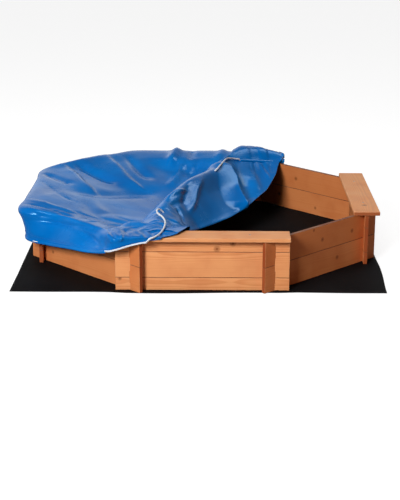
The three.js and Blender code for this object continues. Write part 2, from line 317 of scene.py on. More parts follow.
class KnotGroup(Group):
    """One knot in a board: its dark core, its halo, and how far it bends the grain aside."""

    name = "Knot"
    inputs = {"Offset": ("NodeSocketVector", None), "Radius": ("NodeSocketFloat", 0.006)}
    outputs = {"Core": "NodeSocketFloat", "Ring": "NodeSocketFloat", "Bend": "NodeSocketFloat"}

    @classmethod
    def build(cls, graph: Graph, given: dict[str, Socket]) -> dict[str, Socket]:
        """The offset is the place from the knot's middle in knot radii: along the board, then up it.

        Args:
            graph: The graph of the group's tree.
            given: The group's inputs by name.

        Returns:
            A socket for each of the group's outputs, by name.
        """
        along, up, _ = graph.split(given["Offset"])
        rough = graph.noise(given["Offset"], 1.3, 2.0)
        distance = graph.math("SQRT", graph.squares(along, up))
        uneven = graph.plus(distance, graph.times(rough, 0.5))
        core = graph.remap(uneven, 1.25, 0.75)
        ring = graph.times(graph.remap(uneven, 2.4, 1.2), graph.remap(uneven, 0.9, 1.25))
        stretched = graph.times(along, 0.45)
        squares = graph.squares(stretched, up)
        push = graph.math("DIVIDE", up, graph.plus(squares, 0.45))
        fade = graph.remap(squares, 30.0, 4.0)
        bend = graph.times(graph.times(push, fade), given["Radius"])
        return {"Core": core, "Ring": ring, "Bend": graph.times(bend, -1.0)}


class GrainGroup(Group):
    """Growth rings and fibres of sawn softwood, running along the board."""

    name = "Softwood Grain"
    inputs = {
        "Place": ("NodeSocketVector", None),
        "Bend": ("NodeSocketFloat", 0.0),
        "Early": ("NodeSocketColor", (0.7, 0.35, 0.15, 1.0)),
        "Late": ("NodeSocketColor", (0.4, 0.15, 0.05, 1.0)),
        "Ring Width": ("NodeSocketFloat", 0.004),
        "Contrast": ("NodeSocketFloat", 0.5),
    }
    outputs = {"Color": "NodeSocketColor", "Late Share": "NodeSocketFloat", "Height": "NodeSocketFloat"}

    @classmethod
    def build(cls, graph: Graph, given: dict[str, Socket]) -> dict[str, Socket]:
        """The place is along the board, through it and up it, in metres from the tree's middle.

        Args:
            graph: The graph of the group's tree.
            given: The group's inputs by name.

        Returns:
            A socket for each of the group's outputs, by name.
        """
        along, through, up = graph.split(given["Place"])
        up = graph.plus(up, given["Bend"])
        slow = graph.join(graph.times(along, 1.1), graph.times(through, 5.0), graph.times(up, 5.0))
        wander = graph.math("SUBTRACT", graph.noise(slow, 2.2, 2.0), 0.5)
        radial = graph.plus(graph.math("SQRT", graph.squares(through, up)), graph.times(wander, 0.014))
        rings = graph.math("FRACT", graph.math("DIVIDE", radial, given["Ring Width"]))
        late = graph.times(graph.remap(rings, 0.25, 0.86), graph.remap(rings, 1.0, 0.93))
        fine = graph.join(graph.times(along, 7.0), graph.times(through, 420.0), graph.times(up, 420.0))
        fibre = graph.noise(fine, 1.0, 3.0, 0.6)
        share = graph.times(late, given["Contrast"])
        share = graph.plus(share, graph.times(graph.math("SUBTRACT", fibre, 0.5), 0.5), clamp=True)
        colour = graph.mix(share, given["Early"], given["Late"])
        height = graph.math("SUBTRACT", graph.times(fibre, 0.6), graph.times(late, 0.5))
        return {"Color": colour, "Late Share": late, "Height": height}


class WearGroup(Group):
    """Rubbed edges: a paler colour where an edge mask and a patchy noise meet. On the cover the creases use
    it partly as a painted highlight.
    """

    name = "Edge Wear"
    inputs = {
        "Base": ("NodeSocketColor", (0.5, 0.5, 0.5, 1.0)),
        "Worn": ("NodeSocketColor", (0.8, 0.8, 0.8, 1.0)),
        "Edge": ("NodeSocketFloat", 0.0),
        "Place": ("NodeSocketVector", None),
        "Scale": ("NodeSocketFloat", 30.0),
        "Amount": ("NodeSocketFloat", 0.5),
    }
    outputs = {"Color": "NodeSocketColor"}

    @classmethod
    def build(cls, graph: Graph, given: dict[str, Socket]) -> dict[str, Socket]:
        """Wear shows where the edge mask is high, more in some patches than in others.

        Args:
            graph: The graph of the group's tree.
            given: The group's inputs by name.

        Returns:
            A socket for each of the group's outputs, by name.
        """
        patches = graph.noise(given["Place"], given["Scale"], 4.0)
        share = graph.times(given["Edge"], graph.remap(patches, 0.35, 0.7))
        share = graph.times(share, given["Amount"], clamp=True)
        return {"Color": graph.mix(share, given["Base"], given["Worn"])}


class DustGroup(Group):
    """A thin uneven film of dust or sand on what faces up."""

    name = "Dust"
    inputs = {
        "Base": ("NodeSocketColor", (0.5, 0.5, 0.5, 1.0)),
        "Dust": ("NodeSocketColor", (0.6, 0.55, 0.45, 1.0)),
        "Normal": ("NodeSocketVector", None),
        "Place": ("NodeSocketVector", None),
        "Scale": ("NodeSocketFloat", 8.0),
        "Amount": ("NodeSocketFloat", 0.1),
    }
    outputs = {"Color": "NodeSocketColor", "Dust Share": "NodeSocketFloat"}

    @classmethod
    def build(cls, graph: Graph, given: dict[str, Socket]) -> dict[str, Socket]:
        """Dust lies where the normal points up, in patches.

        Args:
            graph: The graph of the group's tree.
            given: The group's inputs by name.

        Returns:
            A socket for each of the group's outputs, by name.
        """
        upward = graph.remap(graph.split(given["Normal"])[2], 0.2, 0.9)
        patches = graph.noise(given["Place"], given["Scale"], 6.0)
        share = graph.times(upward, graph.remap(patches, 0.35, 0.75))
        share = graph.times(share, given["Amount"], clamp=True)
        return {"Color": graph.mix(share, given["Base"], given["Dust"]), "Dust Share": share}


class WeaveGroup(Group):
    """A plain weave: tapes or threads that pass over and under each other."""

    name = "Weave"
    inputs = {"Place": ("NodeSocketVector", None), "Thread": ("NodeSocketFloat", 0.003)}
    outputs = {"Height": "NodeSocketFloat", "Warp": "NodeSocketFloat"}

    @classmethod
    def build(cls, graph: Graph, given: dict[str, Socket]) -> dict[str, Socket]:
        """The place lies on the cloth, in metres, and a thread is that wide.

        Args:
            graph: The graph of the group's tree.
            given: The group's inputs by name.

        Returns:
            A socket for each of the group's outputs, by name.
        """
        across, down, _ = graph.split(given["Place"])
        across = graph.math("DIVIDE", across, given["Thread"])
        down = graph.math("DIVIDE", down, given["Thread"])
        cells = graph.plus(graph.math("FLOOR", across), graph.math("FLOOR", down))
        warp = graph.math("GREATER_THAN", graph.math("FRACT", graph.times(cells, 0.5)), 0.25)
        rounds = []
        for place in (across, down):
            sine = graph.math("SINE", graph.times(place, math.pi))
            rounds.append(graph.math("POWER", graph.math("ABSOLUTE", sine), 0.5))
        return {"Height": graph.times(*rounds), "Warp": warp}


class Finish:
    """What every finish has: a name, and a material that is made when it is first asked for."""

    name = "finish"

    def material(self) -> bpy.types.Material:
        """Makes the material when it is first asked for.

        Returns:
            The finish as a material.
        """
        found = bpy.data.materials.get(self.name)
        if found:
            return found
        made = bpy.data.materials.new(self.name)
        made.use_nodes = True
        graph = Graph(made.node_tree)
        shader = made.node_tree.nodes["Principled BSDF"]
        self.dress(graph, shader)
        return made

    def dress(self, graph: Graph, shader: bpy.types.Node) -> None:
        """Adds this finish's nodes.

        Args:
            graph: The graph of the material's tree.
            shader: The material's Principled BSDF.
        """
        raise NotImplementedError

    @staticmethod
    def attribute(graph: Graph, name: str, kind: str = "Vector") -> Socket:
        """An attribute of the mesh, as a vector or as a number."""
        return graph.add("ShaderNodeAttribute", attribute_name=name).outputs[kind]

    @staticmethod
    def dusted(graph: Graph, shader: bpy.types.Node, **values: Value) -> Socket:
        """Lays dust over a colour and joins it to the shader.

        Args:
            graph: The graph of the material's tree.
            shader: The material's Principled BSDF.
            values: The dust group's values.

        Returns:
            The share of dust at each point.
        """
        normal = graph.add("ShaderNodeNewGeometry").outputs["Normal"]
        dusty = DustGroup.place(graph, normal=normal, **values)
        graph.feed(shader.inputs["Base Color"], dusty.outputs["Color"])
        return dusty.outputs["Dust Share"]

    @staticmethod
    def bump(graph: Graph, shader: bpy.types.Node, height: Socket, distance: float, strength: float) -> None:
        """Joins a height to the shader's normal."""
        made = graph.add("ShaderNodeBump", {"Height": height, "Distance": distance, "Strength": strength})
        graph.feed(shader.inputs["Normal"], made.outputs[0])


@dataclass(frozen=True)
class StainedWood(Finish):
    """Reddish-orange stained softwood with knots, along each board's own grain."""

    name: str = "stained_softwood"
    early: Colour = linear(232, 163, 108)
    late: Colour = linear(200, 116, 62)
    knot: Colour = linear(122, 66, 34)
    worn: Colour = linear(240, 190, 144)
    soaked: Colour = linear(176, 132, 110)
    joint: Colour = linear(104, 50, 24)
    dust: Colour = linear(226, 200, 168)
    ring_width: float = 3.4 * MM
    contrast: float = 0.42
    roughness: float = 0.5

    def dress(self, graph: Graph, shader: bpy.types.Node) -> None:
        """Rings and fibres bent round up to three knots, rubbed edges and a little dust.

        Args:
            graph: The graph of the material's tree.
            shader: The material's Principled BSDF.
        """
        place = self.attribute(graph, "grain_place")
        offsets = [self.attribute(graph, f"knot_{i}") for i in range(MAX_KNOTS)]
        knots = [KnotGroup.place(graph, offset=offset) for offset in offsets]
        bend = knots[0].outputs["Bend"]
        core = knots[0].outputs["Core"]
        ring = knots[0].outputs["Ring"]
        for knot in knots[1:]:
            bend = graph.plus(bend, knot.outputs["Bend"])
            core = graph.math("MAXIMUM", core, knot.outputs["Core"])
            ring = graph.math("MAXIMUM", ring, knot.outputs["Ring"])
        grain = GrainGroup.place(
            graph, place=place, bend=bend, early=self.early, late=self.late,
            ring_width=self.ring_width, contrast=self.contrast,
        )
        # The tone attribute holds each board's random tone plus painted shade on every wall but the front
        # one.
        tone = self.attribute(graph, "tone", "Fac")
        toned = graph.mix(graph.remap(tone, 0.0, 1.0, 0.0, 0.85), grain.outputs["Color"], self.late)
        blotches = graph.noise(place, 9.0, 3.0)
        toned = graph.mix(graph.remap(blotches, 0.35, 0.75, 0.0, 0.22), toned, self.late, "MULTIPLY")
        toned = graph.mix(graph.times(ring, 0.5), toned, self.knot)
        toned = graph.mix(graph.times(core, 0.85), toned, self.knot)
        edge = self.attribute(graph, "edge", "Fac")
        worn = WearGroup.place(
            graph, base=toned, worn=self.worn, edge=edge, place=place, scale=22.0, amount=0.55
        )
        end = graph.times(self.attribute(graph, "end_grain", "Fac"), 0.85)
        soaked = graph.mix(end, worn.outputs["Color"], self.soaked, "MULTIPLY")
        seam = graph.remap(self.attribute(graph, "seam", "Fac"), 0.3, 0.9, 0.0, 0.85)
        soaked = graph.mix(seam, soaked, self.joint)
        dust = self.dusted(graph, shader, base=soaked, dust=self.dust, place=place, scale=14.0, amount=0.16)
        late = grain.outputs["Late Share"]
        rough = graph.remap(late, 0.0, 1.0, self.roughness + 0.08, self.roughness - 0.06)
        rough = graph.plus(rough, graph.times(dust, 0.4))
        graph.feed(shader.inputs["Roughness"], rough)
        shader.inputs["Specular IOR Level"].default_value = 0.22
        self.bump(graph, shader, grain.outputs["Height"], 0.25 * MM, 0.5)


@dataclass(frozen=True)
class ZincSteel(Finish):
    """Zinc-plated steel, a little dull in patches."""

    name: str = "zinc_plated_steel"
    bright: Colour = linear(206, 204, 196)
    dull: Colour = linear(150, 142, 126)

    def dress(self, graph: Graph, shader: bpy.types.Node) -> None:
        """Patches of dull plating over fine turning marks.

        Args:
            graph: The graph of the material's tree.
            shader: The material's Principled BSDF.
        """
        place = graph.add("ShaderNodeTexCoord").outputs["Object"]
        patches = graph.remap(graph.noise(place, 420.0, 4.0), 0.35, 0.7)
        graph.feed(shader.inputs["Base Color"], graph.mix(patches, self.bright, self.dull))
        graph.feed(shader.inputs["Roughness"], graph.remap(patches, 0.0, 1.0, 0.28, 0.5))
        shader.inputs["Metallic"].default_value = 1.0
        self.bump(graph, shader, graph.noise(place, 2600.0, 2.0), 0.05 * MM, 0.4)


@dataclass(frozen=True)
class WovenSheet(Finish):
    """Black woven tape sheet of the kind that keeps weeds down."""

    name: str = "black_woven_sheet"
    black: Colour = linear(13, 13, 14)
    grey: Colour = linear(30, 30, 33)
    dust: Colour = linear(112, 104, 92)
    tape: float = 2.6 * MM

    def dress(self, graph: Graph, shader: bpy.types.Node) -> None:
        """Tapes in two directions, a painted sheen along the raised middle of the warp tapes, stronger in
        patches, and a little dust.

        Args:
            graph: The graph of the material's tree.
            shader: The material's Principled BSDF.
        """
        place = graph.add("ShaderNodeUVMap", uv_map="flat").outputs[0]
        weave = WeaveGroup.place(graph, place=place, thread=self.tape)
        # Painted sheen: the raised middle of each warp tape is drawn greyer, as the light it catches.
        sheen = graph.times(weave.outputs["Warp"], weave.outputs["Height"])
        patches = graph.noise(place, 7.0, 5.0)
        paler = graph.times(sheen, graph.remap(patches, 0.3, 0.7, 0.35, 1.0))
        base = graph.mix(paler, self.black, self.grey)
        self.dusted(graph, shader, base=base, dust=self.dust, place=place, scale=5.0, amount=0.008)
        graph.feed(shader.inputs["Roughness"], graph.remap(weave.outputs["Warp"], 0.0, 1.0, 0.72, 0.6))
        shader.inputs["Specular IOR Level"].default_value = 0.03
        self.bump(graph, shader, weave.outputs["Height"], 0.35 * MM, 0.6)


@dataclass(frozen=True)
class CoatedFabric(Finish):
    """Deep blue coated fabric: a smooth glossy face that shows its base weave faintly."""

    name: str = "blue_coated_fabric"
    deep: Colour = linear(0, 100, 178)
    bright: Colour = linear(0, 115, 196)
    # Paler blue for the creases: part real scuffing, part painted highlight along the ridges.
    scuffed_and_highlit: Colour = linear(40, 145, 220)
    dust: Colour = linear(206, 204, 196)
    roughness: float = 0.23
    thread: float = 1.1 * MM

    def dress(self, graph: Graph, shader: bpy.types.Node) -> None:
        """Uneven pigment, creases paler partly from scuffing and partly as a painted highlight, a faint weave
        and small dents.

        Args:
            graph: The graph of the material's tree.
            shader: The material's Principled BSDF.
        """
        place = graph.add("ShaderNodeTexCoord").outputs["Object"]
        flat = graph.add("ShaderNodeUVMap", uv_map="flat").outputs[0]
        pigment = graph.remap(graph.noise(place, 5.0, 4.0), 0.3, 0.7)
        base = graph.mix(pigment, self.deep, self.bright)
        # Painted highlight: the creases are drawn paler, partly as scuffing and partly as the light the
        # ridges catch.
        crease = self.attribute(graph, "crease", "Fac")
        worn = WearGroup.place(
            graph, base=base, worn=self.scuffed_and_highlit, edge=crease, place=place, scale=40.0, amount=0.3
        )
        base = worn.outputs["Color"]
        dust = self.dusted(graph, shader, base=base, dust=self.dust, place=place, scale=11.0, amount=0.008)
        weave = WeaveGroup.place(graph, place=flat, thread=self.thread)
        smears = graph.remap(graph.noise(place, 9.0, 4.0, 0.55), 0.3, 0.75, -0.05, 0.08)
        rough = graph.plus(smears, self.roughness)
        graph.feed(shader.inputs["Roughness"], graph.plus(rough, graph.times(dust, 0.5)))
        shader.inputs["Specular IOR Level"].default_value = 0.28
        shader.inputs["Specular Tint"].default_value = (0.35, 0.78, 1.0, 1.0)
        dents = graph.times(graph.noise(place, 22.0, 1.0, 0.4), 2.2)
        height = graph.plus(dents, graph.times(weave.outputs["Height"], 0.08))
        self.bump(graph, shader, height, 0.5 * MM, 0.3)


@dataclass(frozen=True)
class BraidedCord(Finish):
    """White braided cord: strands that cross in two spirals."""

    name: str = "white_braided_cord"
    white: Colour = linear(242, 244, 246)
    shade: Colour = linear(176, 186, 200)

    def dress(self, graph: Graph, shader: bpy.types.Node) -> None:
        """The cord's map runs round it and along it, one unit for each strand and pitch.

        Args:
            graph: The graph of the material's tree.
            shader: The material's Principled BSDF.
        """
        flat = graph.add("ShaderNodeUVMap", uv_map="flat").outputs[0]
        around, along, _ = graph.split(flat)
        turned = graph.join(graph.plus(around, along), graph.math("SUBTRACT", around, along), 0.0)
        weave = WeaveGroup.place(graph, place=turned, thread=1.0)
        shade = graph.remap(weave.outputs["Height"], 0.15, 0.75)
        graph.feed(shader.inputs["Base Color"], graph.mix(shade, self.shade, self.white))
        graph.feed(shader.inputs["Roughness"], graph.remap(shade, 0.0, 1.0, 0.85, 0.6))
        self.bump(graph, shader, weave.outputs["Height"], 0.6 * MM, 0.8)


@dataclass(frozen=True)
class SewingThread(Finish):
    """Blue sewing thread with a twist."""

    name: str = "blue_sewing_thread"
    light: Colour = linear(40, 128, 214)
    dark: Colour = linear(0, 60, 140)

    def dress(self, graph: Graph, shader: bpy.types.Node) -> None:
        """Fine bands of painted highlight and painted shade for the thread's twist.

        Args:
            graph: The graph of the material's tree.
            shader: The material's Principled BSDF.
        """
        place = graph.add("ShaderNodeTexCoord").outputs["Object"]
        # Painted highlight and shade: lighter and darker blue stand for the light and shade on the twisted
        # plies.
        bands = graph.remap(graph.noise(place, 900.0, 2.0), 0.35, 0.65)
        graph.feed(shader.inputs["Base Color"], graph.mix(bands, self.dark, self.light))
        graph.feed(shader.inputs["Roughness"], graph.remap(bands, 0.0, 1.0, 0.7, 0.5))


@dataclass(frozen=True)
class PaleFloor(Finish):
    """Plain pale studio floor."""

    name: str = "pale_floor"
    tone: float = 0.3
    glow: float = 0.86

    def dress(self, graph: Graph, shader: bpy.types.Node) -> None:
        """One even pale colour.

        Args:
            graph: The graph of the material's tree.
            shader: The material's Principled BSDF.
        """
        shader.inputs["Base Color"].default_value = (self.tone, self.tone, self.tone, 1.0)
        shader.inputs["Emission Color"].default_value = (1.0, 1.0, 1.0, 1.0)
        seen = graph.add("ShaderNodeLightPath").outputs["Is Camera Ray"]
        graph.feed(shader.inputs["Emission Strength"], graph.times(seen, self.glow))
        shader.inputs["Roughness"].default_value = 0.9
        shader.inputs["Specular IOR Level"].default_value = 0.1


def store_numbers(mesh: bpy.types.Mesh, name: str, values: np.ndarray, domain: str = "POINT") -> None:
    """Stores one number for each point or face of a mesh.

    Args:
        mesh: The mesh.
        name: The attribute's name.
        values: The numbers.
        domain: What has them: POINT or FACE.
    """
    layer = mesh.attributes.new(name, "FLOAT", domain)
    layer.data.foreach_set("value", values.astype(np.float32).ravel())


@dataclass(frozen=True)
class Knot:
    """A knot: its place along its wall and up it, and its radius, in metres."""

    along: float
    up: float
    radius: float = 5.5 * MM


FAR_KNOT = Knot(90.0, 90.0)


@dataclass
class Timber:
    """The wooden pieces: the boards of all eight walls and the four seats."""

    finish: StainedWood = field(default_factory=StainedWood)
    edge_radius: float = 1.5 * MM
    seam_reach: float = 1.2 * MM
    seat_edge_radius: float = 2.2 * MM
    merge_distance: float = 0.01 * MM
    shortest_edge: float = 7 * MM
    stain_spread: float = 0.4
    # Painted shade: every wall but the front wall gets this much darker stain, standing for the shade on
    # those walls.
    painted_shade_stain: float = 0.7
    knots: dict[str, tuple[Knot, ...]] = field(
        default_factory=lambda: {
            "front_wall_top_board": (Knot(0.054, 0.164, 7.5 * MM), Knot(0.113, 0.186, 7.5 * MM)),
            "front_wall_bottom_board": (Knot(-0.308, 0.047, 4.5 * MM),),
            "front_right_wall_upper_board": (
                Knot(-0.054, 0.193, 4.0 * MM),
                Knot(-0.002, 0.146),
                Knot(0.177, 0.145),
            ),
            "front_right_wall_lower_board": (Knot(0.09, 0.054),),
            "front_left_wall_lower_board": (Knot(-0.192, 0.047, 4.5 * MM),),
            "right_wall_middle_board": (Knot(-0.12, 0.12), Knot(0.19, 0.085, 8.0 * MM)),
            "right_seat": (Knot(-0.22, 0.0, 7.0 * MM),),
            "back_wall_middle_board": (Knot(0.1, 0.1), Knot(-0.21, 0.13)),
            "back_right_wall_lower_board": (Knot(0.15, 0.06), Knot(-0.07, 0.035, 4.5 * MM)),
            "back_right_wall_upper_board": (Knot(0.05, 0.15),),
            "back_left_wall_upper_board": (Knot(-0.13, 0.14), Knot(0.2, 0.17, 4.5 * MM)),
            "left_wall_middle_board": (Knot(0.02, 0.11, 7.5 * MM), Knot(-0.24, 0.07)),
            "left_wall_bottom_board": (Knot(0.22, 0.03),),
        }
    )

    def build(self) -> list[bpy.types.Object]:
        """Builds every board and seat.

        Returns:
            The new pieces, each standing for its own node.
        """
        pieces = []
        names = [n for n in sorted(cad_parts) if n.endswith("_board") or n.endswith("_seat")]
        for order, name in enumerate(names):
            pieces.append(self.plank(name, order))
        return pieces

    def plank(self, node: str, order: int) -> bpy.types.Object:
        """Makes one board or seat from its node, with rounded edges and its own grain.

        Args:
            node: The name of the node that it stands for.
            order: The board's number, which sets its grain and its tone.

        Returns:
            The new piece.
        """
        wall = max((w for w in WALLS if node.startswith(w + "_")), key=len)
        is_seat = node.endswith("_seat")
        radius = self.seat_edge_radius if is_seat else self.edge_radius
        mesh = self.rounded(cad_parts[node].data, node, radius)
        piece = new_object(node + "_wood", mesh)
        self.lay_grain(mesh, WALLS.index(wall), is_seat, self.knots.get(node, ()), order)
        mesh.materials.clear()
        mesh.materials.append(self.finish.material())
        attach(piece, "frame")
        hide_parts(node)
        return piece

    def rounded(self, source: bpy.types.Mesh, name: str, radius: float) -> bpy.types.Mesh:
        """A merged copy of a mesh with its long sharp edges rounded.

        Args:
            source: The node's own mesh, which stays as it is.
            name: The new mesh's name.
            radius: The edges' radius.

        Returns:
            A mesh with an attribute that is 1 along the middle of each rounded edge.
        """
        work = bmesh.new()
        work.from_mesh(source)
        bmesh.ops.remove_doubles(work, verts=work.verts, dist=self.merge_distance)
        bmesh.ops.dissolve_limit(work, angle_limit=math.radians(2), verts=work.verts, edges=work.edges)
        joined = [e for e in work.edges if len(e.link_faces) == 2]
        sharp = [e for e in joined if e.calc_face_angle(0.0) > math.radians(40)]
        long_ones = [e for e in sharp if e.calc_length() > self.shortest_edge]
        made = bmesh.ops.bevel(
            work, geom=long_ones, offset=radius, offset_type="OFFSET", segments=4, profile=0.5,
            affect="EDGES", clamp_overlap=True,
        )
        new_faces = set(made["faces"])
        layer = work.verts.layers.float.new("edge")
        for vertex in work.verts:
            inside = vertex.link_faces and all(f in new_faces for f in vertex.link_faces)
            vertex[layer] = 1.0 if inside else 0.0
        for face in work.faces:
            face.smooth = face in new_faces
        mesh = bpy.data.meshes.new(name)
        work.to_mesh(mesh)
        work.free()
        return mesh

    def lay_grain(
        self, mesh: bpy.types.Mesh, wall: int, is_seat: bool, knots: Sequence[Knot], order: int
    ) -> None:
        """Stores where each point lies in its board, from the tree's middle and from each knot.

        Args:
            mesh: The board's mesh.
            wall: The number of the board's wall.
            is_seat: Whether it lies flat.
            knots: The board's knots.
            order: The board's number, which seeds its grain.
        """
        random = np.random.default_rng(SEED + order)
        points = np.array([v.co for v in mesh.vertices])
        along, out = from_wall(points, wall)
        up = points[:, 2]
        middle_out = (out.min() + out.max()) / 2
        middle_up = (up.min() + up.max()) / 2
        across = out - middle_out if is_seat else up - middle_up
        through = up - middle_up if is_seat else out - middle_out
        heart = random.uniform(0.035, 0.09)
        shift = random.uniform(-0.045, 0.045)
        place = np.stack([along + random.uniform(-30, 30), through + heart, across + shift], axis=1)
        self.store(mesh, "grain_place", place)
        for i in range(MAX_KNOTS):
            knot = knots[i] if i < len(knots) else FAR_KNOT
            knot_up = knot.up if is_seat else knot.up - middle_up
            offset = np.stack([(along - knot.along), (across - knot_up), np.zeros(len(points))], axis=1)
            self.store(mesh, f"knot_{i}", offset / knot.radius)
        near = np.minimum(up - up.min(), up.max() - up)
        seam = np.where(near < self.seam_reach, 1.0, 0.0) * (0.0 if is_seat else 1.0)
        store_numbers(mesh, "seam", seam)
        axis = beside_wall(wall, 1.0, 0.0, 0.0)
        ends = [1.0 if abs(p.normal.dot(axis)) > 0.8 else 0.0 for p in mesh.polygons]
        store_numbers(mesh, "end_grain", np.array(ends), "FACE")
        # Painted shade: walls other than the front wall get the darker stain on top of the boards' own random
        # tone.
        painted_shade_share = self.painted_shade_stain if wall and not is_seat else 0.0
        depth = random.uniform(0.0, self.stain_spread) + painted_shade_share
        store_numbers(mesh, "tone", np.full(len(points), depth))

    @staticmethod
    def store(mesh: bpy.types.Mesh, name: str, values: np.ndarray) -> None:
        """Stores one vector for each point of a mesh."""
        layer = mesh.attributes.new(name, "FLOAT_VECTOR", "POINT")
        layer.data.foreach_set("vector", values.astype(np.float32).ravel())


class ScrewTree:
    """A Geometry Nodes tree that sets a countersunk cross-head screw on each point it is given."""

    name = "Countersunk Screws"

    def __init__(self) -> None:
        """Builds the tree with its named inputs."""
        self.tree = bpy.data.node_groups.new(self.name, "GeometryNodeTree")
        self.graph = Graph(self.tree)
        face = self.tree.interface
        face.new_socket("Geometry", in_out="INPUT", socket_type="NodeSocketGeometry")
        sizes = ["Head Radius", "Head Height", "Shank Radius"]
        for name in (*sizes, "Recess Length", "Recess Width", "Recess Depth"):
            face.new_socket(name, in_out="INPUT", socket_type="NodeSocketFloat")
        face.new_socket("Finish", in_out="INPUT", socket_type="NodeSocketMaterial")
        face.new_socket("Geometry", in_out="OUTPUT", socket_type="NodeSocketGeometry")
        self.given = {s.name: s for s in self.graph.add("NodeGroupInput").outputs if s.name}
        self.build()

    def recess_arm(self, length: Socket, width: Socket) -> Socket:
        """One arm of the cross recess, down from the head's top."""
        depth = self.given["Recess Depth"]
        size = self.graph.join(length, width, self.graph.times(depth, 2.0))
        return self.graph.add("GeometryNodeMeshCube", {"Size": size}).outputs["Mesh"]

    def build(self) -> None:
        """Head and shank, less the cross recess, on every point."""
        graph, given = self.graph, self.given
        cone = graph.add(
            "GeometryNodeMeshCone",
            {
                "Vertices": 32,
                "Radius Top": given["Head Radius"],
                "Radius Bottom": given["Shank Radius"],
                "Depth": given["Head Height"],
            },
        )
        down = graph.join(0.0, 0.0, graph.times(given["Head Height"], -1.0))
        head = graph.add("GeometryNodeTransform", {"Geometry": cone.outputs["Mesh"], "Translation": down})
        arms = graph.add("GeometryNodeJoinGeometry")
        graph.feed(arms.inputs[0], self.recess_arm(given["Recess Length"], given["Recess Width"]))
        graph.feed(arms.inputs[0], self.recess_arm(given["Recess Width"], given["Recess Length"]))
        cut = graph.add("GeometryNodeMeshBoolean", operation="DIFFERENCE", solver="EXACT")
        graph.feed(cut.inputs[0], head.outputs[0])
        graph.feed(cut.inputs[1], arms.outputs[0])
        cut.inputs["Self Intersection"].default_value = True
        places = {"Points": given["Geometry"], "Instance": cut.outputs["Mesh"]}
        set_on = graph.add("GeometryNodeInstanceOnPoints", places)
        real = graph.add("GeometryNodeRealizeInstances", {0: set_on.outputs[0]})
        finished = {"Geometry": real.outputs[0], "Material": given["Finish"]}
        dressed = graph.add("GeometryNodeSetMaterial", finished)
        graph.feed(graph.add("NodeGroupOutput").inputs[0], dressed.outputs[0])


class StitchTree:
    """A Geometry Nodes tree that lays evenly spaced stitches along a line."""

    name = "Stitches"

    def __init__(self) -> None:
        """Builds the tree with its named inputs."""
        self.tree = bpy.data.node_groups.new(self.name, "GeometryNodeTree")
        graph = Graph(self.tree)
        face = self.tree.interface
        face.new_socket("Geometry", in_out="INPUT", socket_type="NodeSocketGeometry")
        for name in ("Spacing", "Stitch Length", "Thread Radius"):
            face.new_socket(name, in_out="INPUT", socket_type="NodeSocketFloat")
        face.new_socket("Finish", in_out="INPUT", socket_type="NodeSocketMaterial")
        face.new_socket("Geometry", in_out="OUTPUT", socket_type="NodeSocketGeometry")
        given = {s.name: s for s in graph.add("NodeGroupInput").outputs if s.name}
        line = graph.add("GeometryNodeMeshToCurve", {0: given["Geometry"]})
        points = graph.add("GeometryNodeResampleCurve", {"Curve": line.outputs[0]}, mode="LENGTH")
        graph.feed(points.inputs["Length"], given["Spacing"])
        ball = {"Segments": 8, "Rings": 6, "Radius": given["Thread Radius"]}
        thread = graph.add("GeometryNodeMeshUVSphere", ball)
        doubled = graph.times(given["Thread Radius"], 2.0)
        longer = graph.join(1.0, 1.0, graph.math("DIVIDE", given["Stitch Length"], doubled))
        stitch = graph.add("GeometryNodeTransform", {"Geometry": thread.outputs["Mesh"], "Scale": longer})
        tangent = graph.add("GeometryNodeInputTangent").outputs[0]
        turned = graph.add("FunctionNodeAlignRotationToVector", {"Vector": tangent}, axis="Z")
        places = {"Points": points.outputs[0], "Instance": stitch.outputs[0], "Rotation": turned.outputs[0]}
        laid = graph.add("GeometryNodeInstanceOnPoints", places)
        real = graph.add("GeometryNodeRealizeInstances", {0: laid.outputs[0]})
        finished = {"Geometry": real.outputs[0], "Material": given["Finish"]}
        dressed = graph.add("GeometryNodeSetMaterial", finished)
        graph.feed(graph.add("NodeGroupOutput").inputs[0], dressed.outputs[0])


def grow(
    points: Sequence[Vector],
    name: str,
    tree: bpy.types.NodeTree,
    values: dict[str, object],
    edges: Sequence[tuple[int, int]] = (),
) -> bpy.types.Object:
    """Runs a Geometry Nodes tree on some points and keeps the result as a plain mesh.

    Args:
        points: The points, and with edges the line, that the tree works on.
        name: The new object's name.
        tree: The Geometry Nodes tree.
        values: A value for each of the tree's inputs, by name.
        edges: Pairs of points that are joined.

    Returns:
        An object with the finished mesh and no modifier.
    """
    mesh = bpy.data.meshes.new(name)
    mesh.from_pydata([tuple(p) for p in points], list(edges), [])
    made = new_object(name, mesh)
    modifier = made.modifiers.new(name, "NODES")
    modifier.node_group = tree
    inputs = [item for item in tree.interface.items_tree if getattr(item, "in_out", "") == "INPUT"]
    identifiers = {item.name: item.identifier for item in inputs}
    for key, value in values.items():
        modifier[identifiers[key]] = value
    keep_modified(made)
    return made


@dataclass
class SeatScrews:
    """Two countersunk screws through each seat."""

    finish: ZincSteel = field(default_factory=ZincSteel)
    head_radius: float = 4.5 * MM
    head_height: float = 3.5 * MM
    shank_radius: float = 2.2 * MM
    recess_length: float = 5 * MM
    recess_width: float = 1.2 * MM
    recess_depth: float = 2 * MM

    def build(self) -> bpy.types.Object:
        """Builds all the screws as one piece that stands for the screws' nodes."""
        nodes = [n for n in sorted(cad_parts) if "_seat_screw_" in n]
        tops = []
        for node in nodes:
            low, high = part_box(node)
            tops.append(Vector(((low.x + high.x) / 2, (low.y + high.y) / 2, high.z)))
        values = {
            "Head Radius": self.head_radius,
            "Head Height": self.head_height,
            "Shank Radius": self.shank_radius,
            "Recess Length": self.recess_length,
            "Recess Width": self.recess_width,
            "Recess Depth": self.recess_depth,
            "Finish": self.finish.material(),
        }
        piece = grow(tops, "seat_screws", ScrewTree().tree, values)
        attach(piece, "frame")
        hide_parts(*nodes)
        return piece


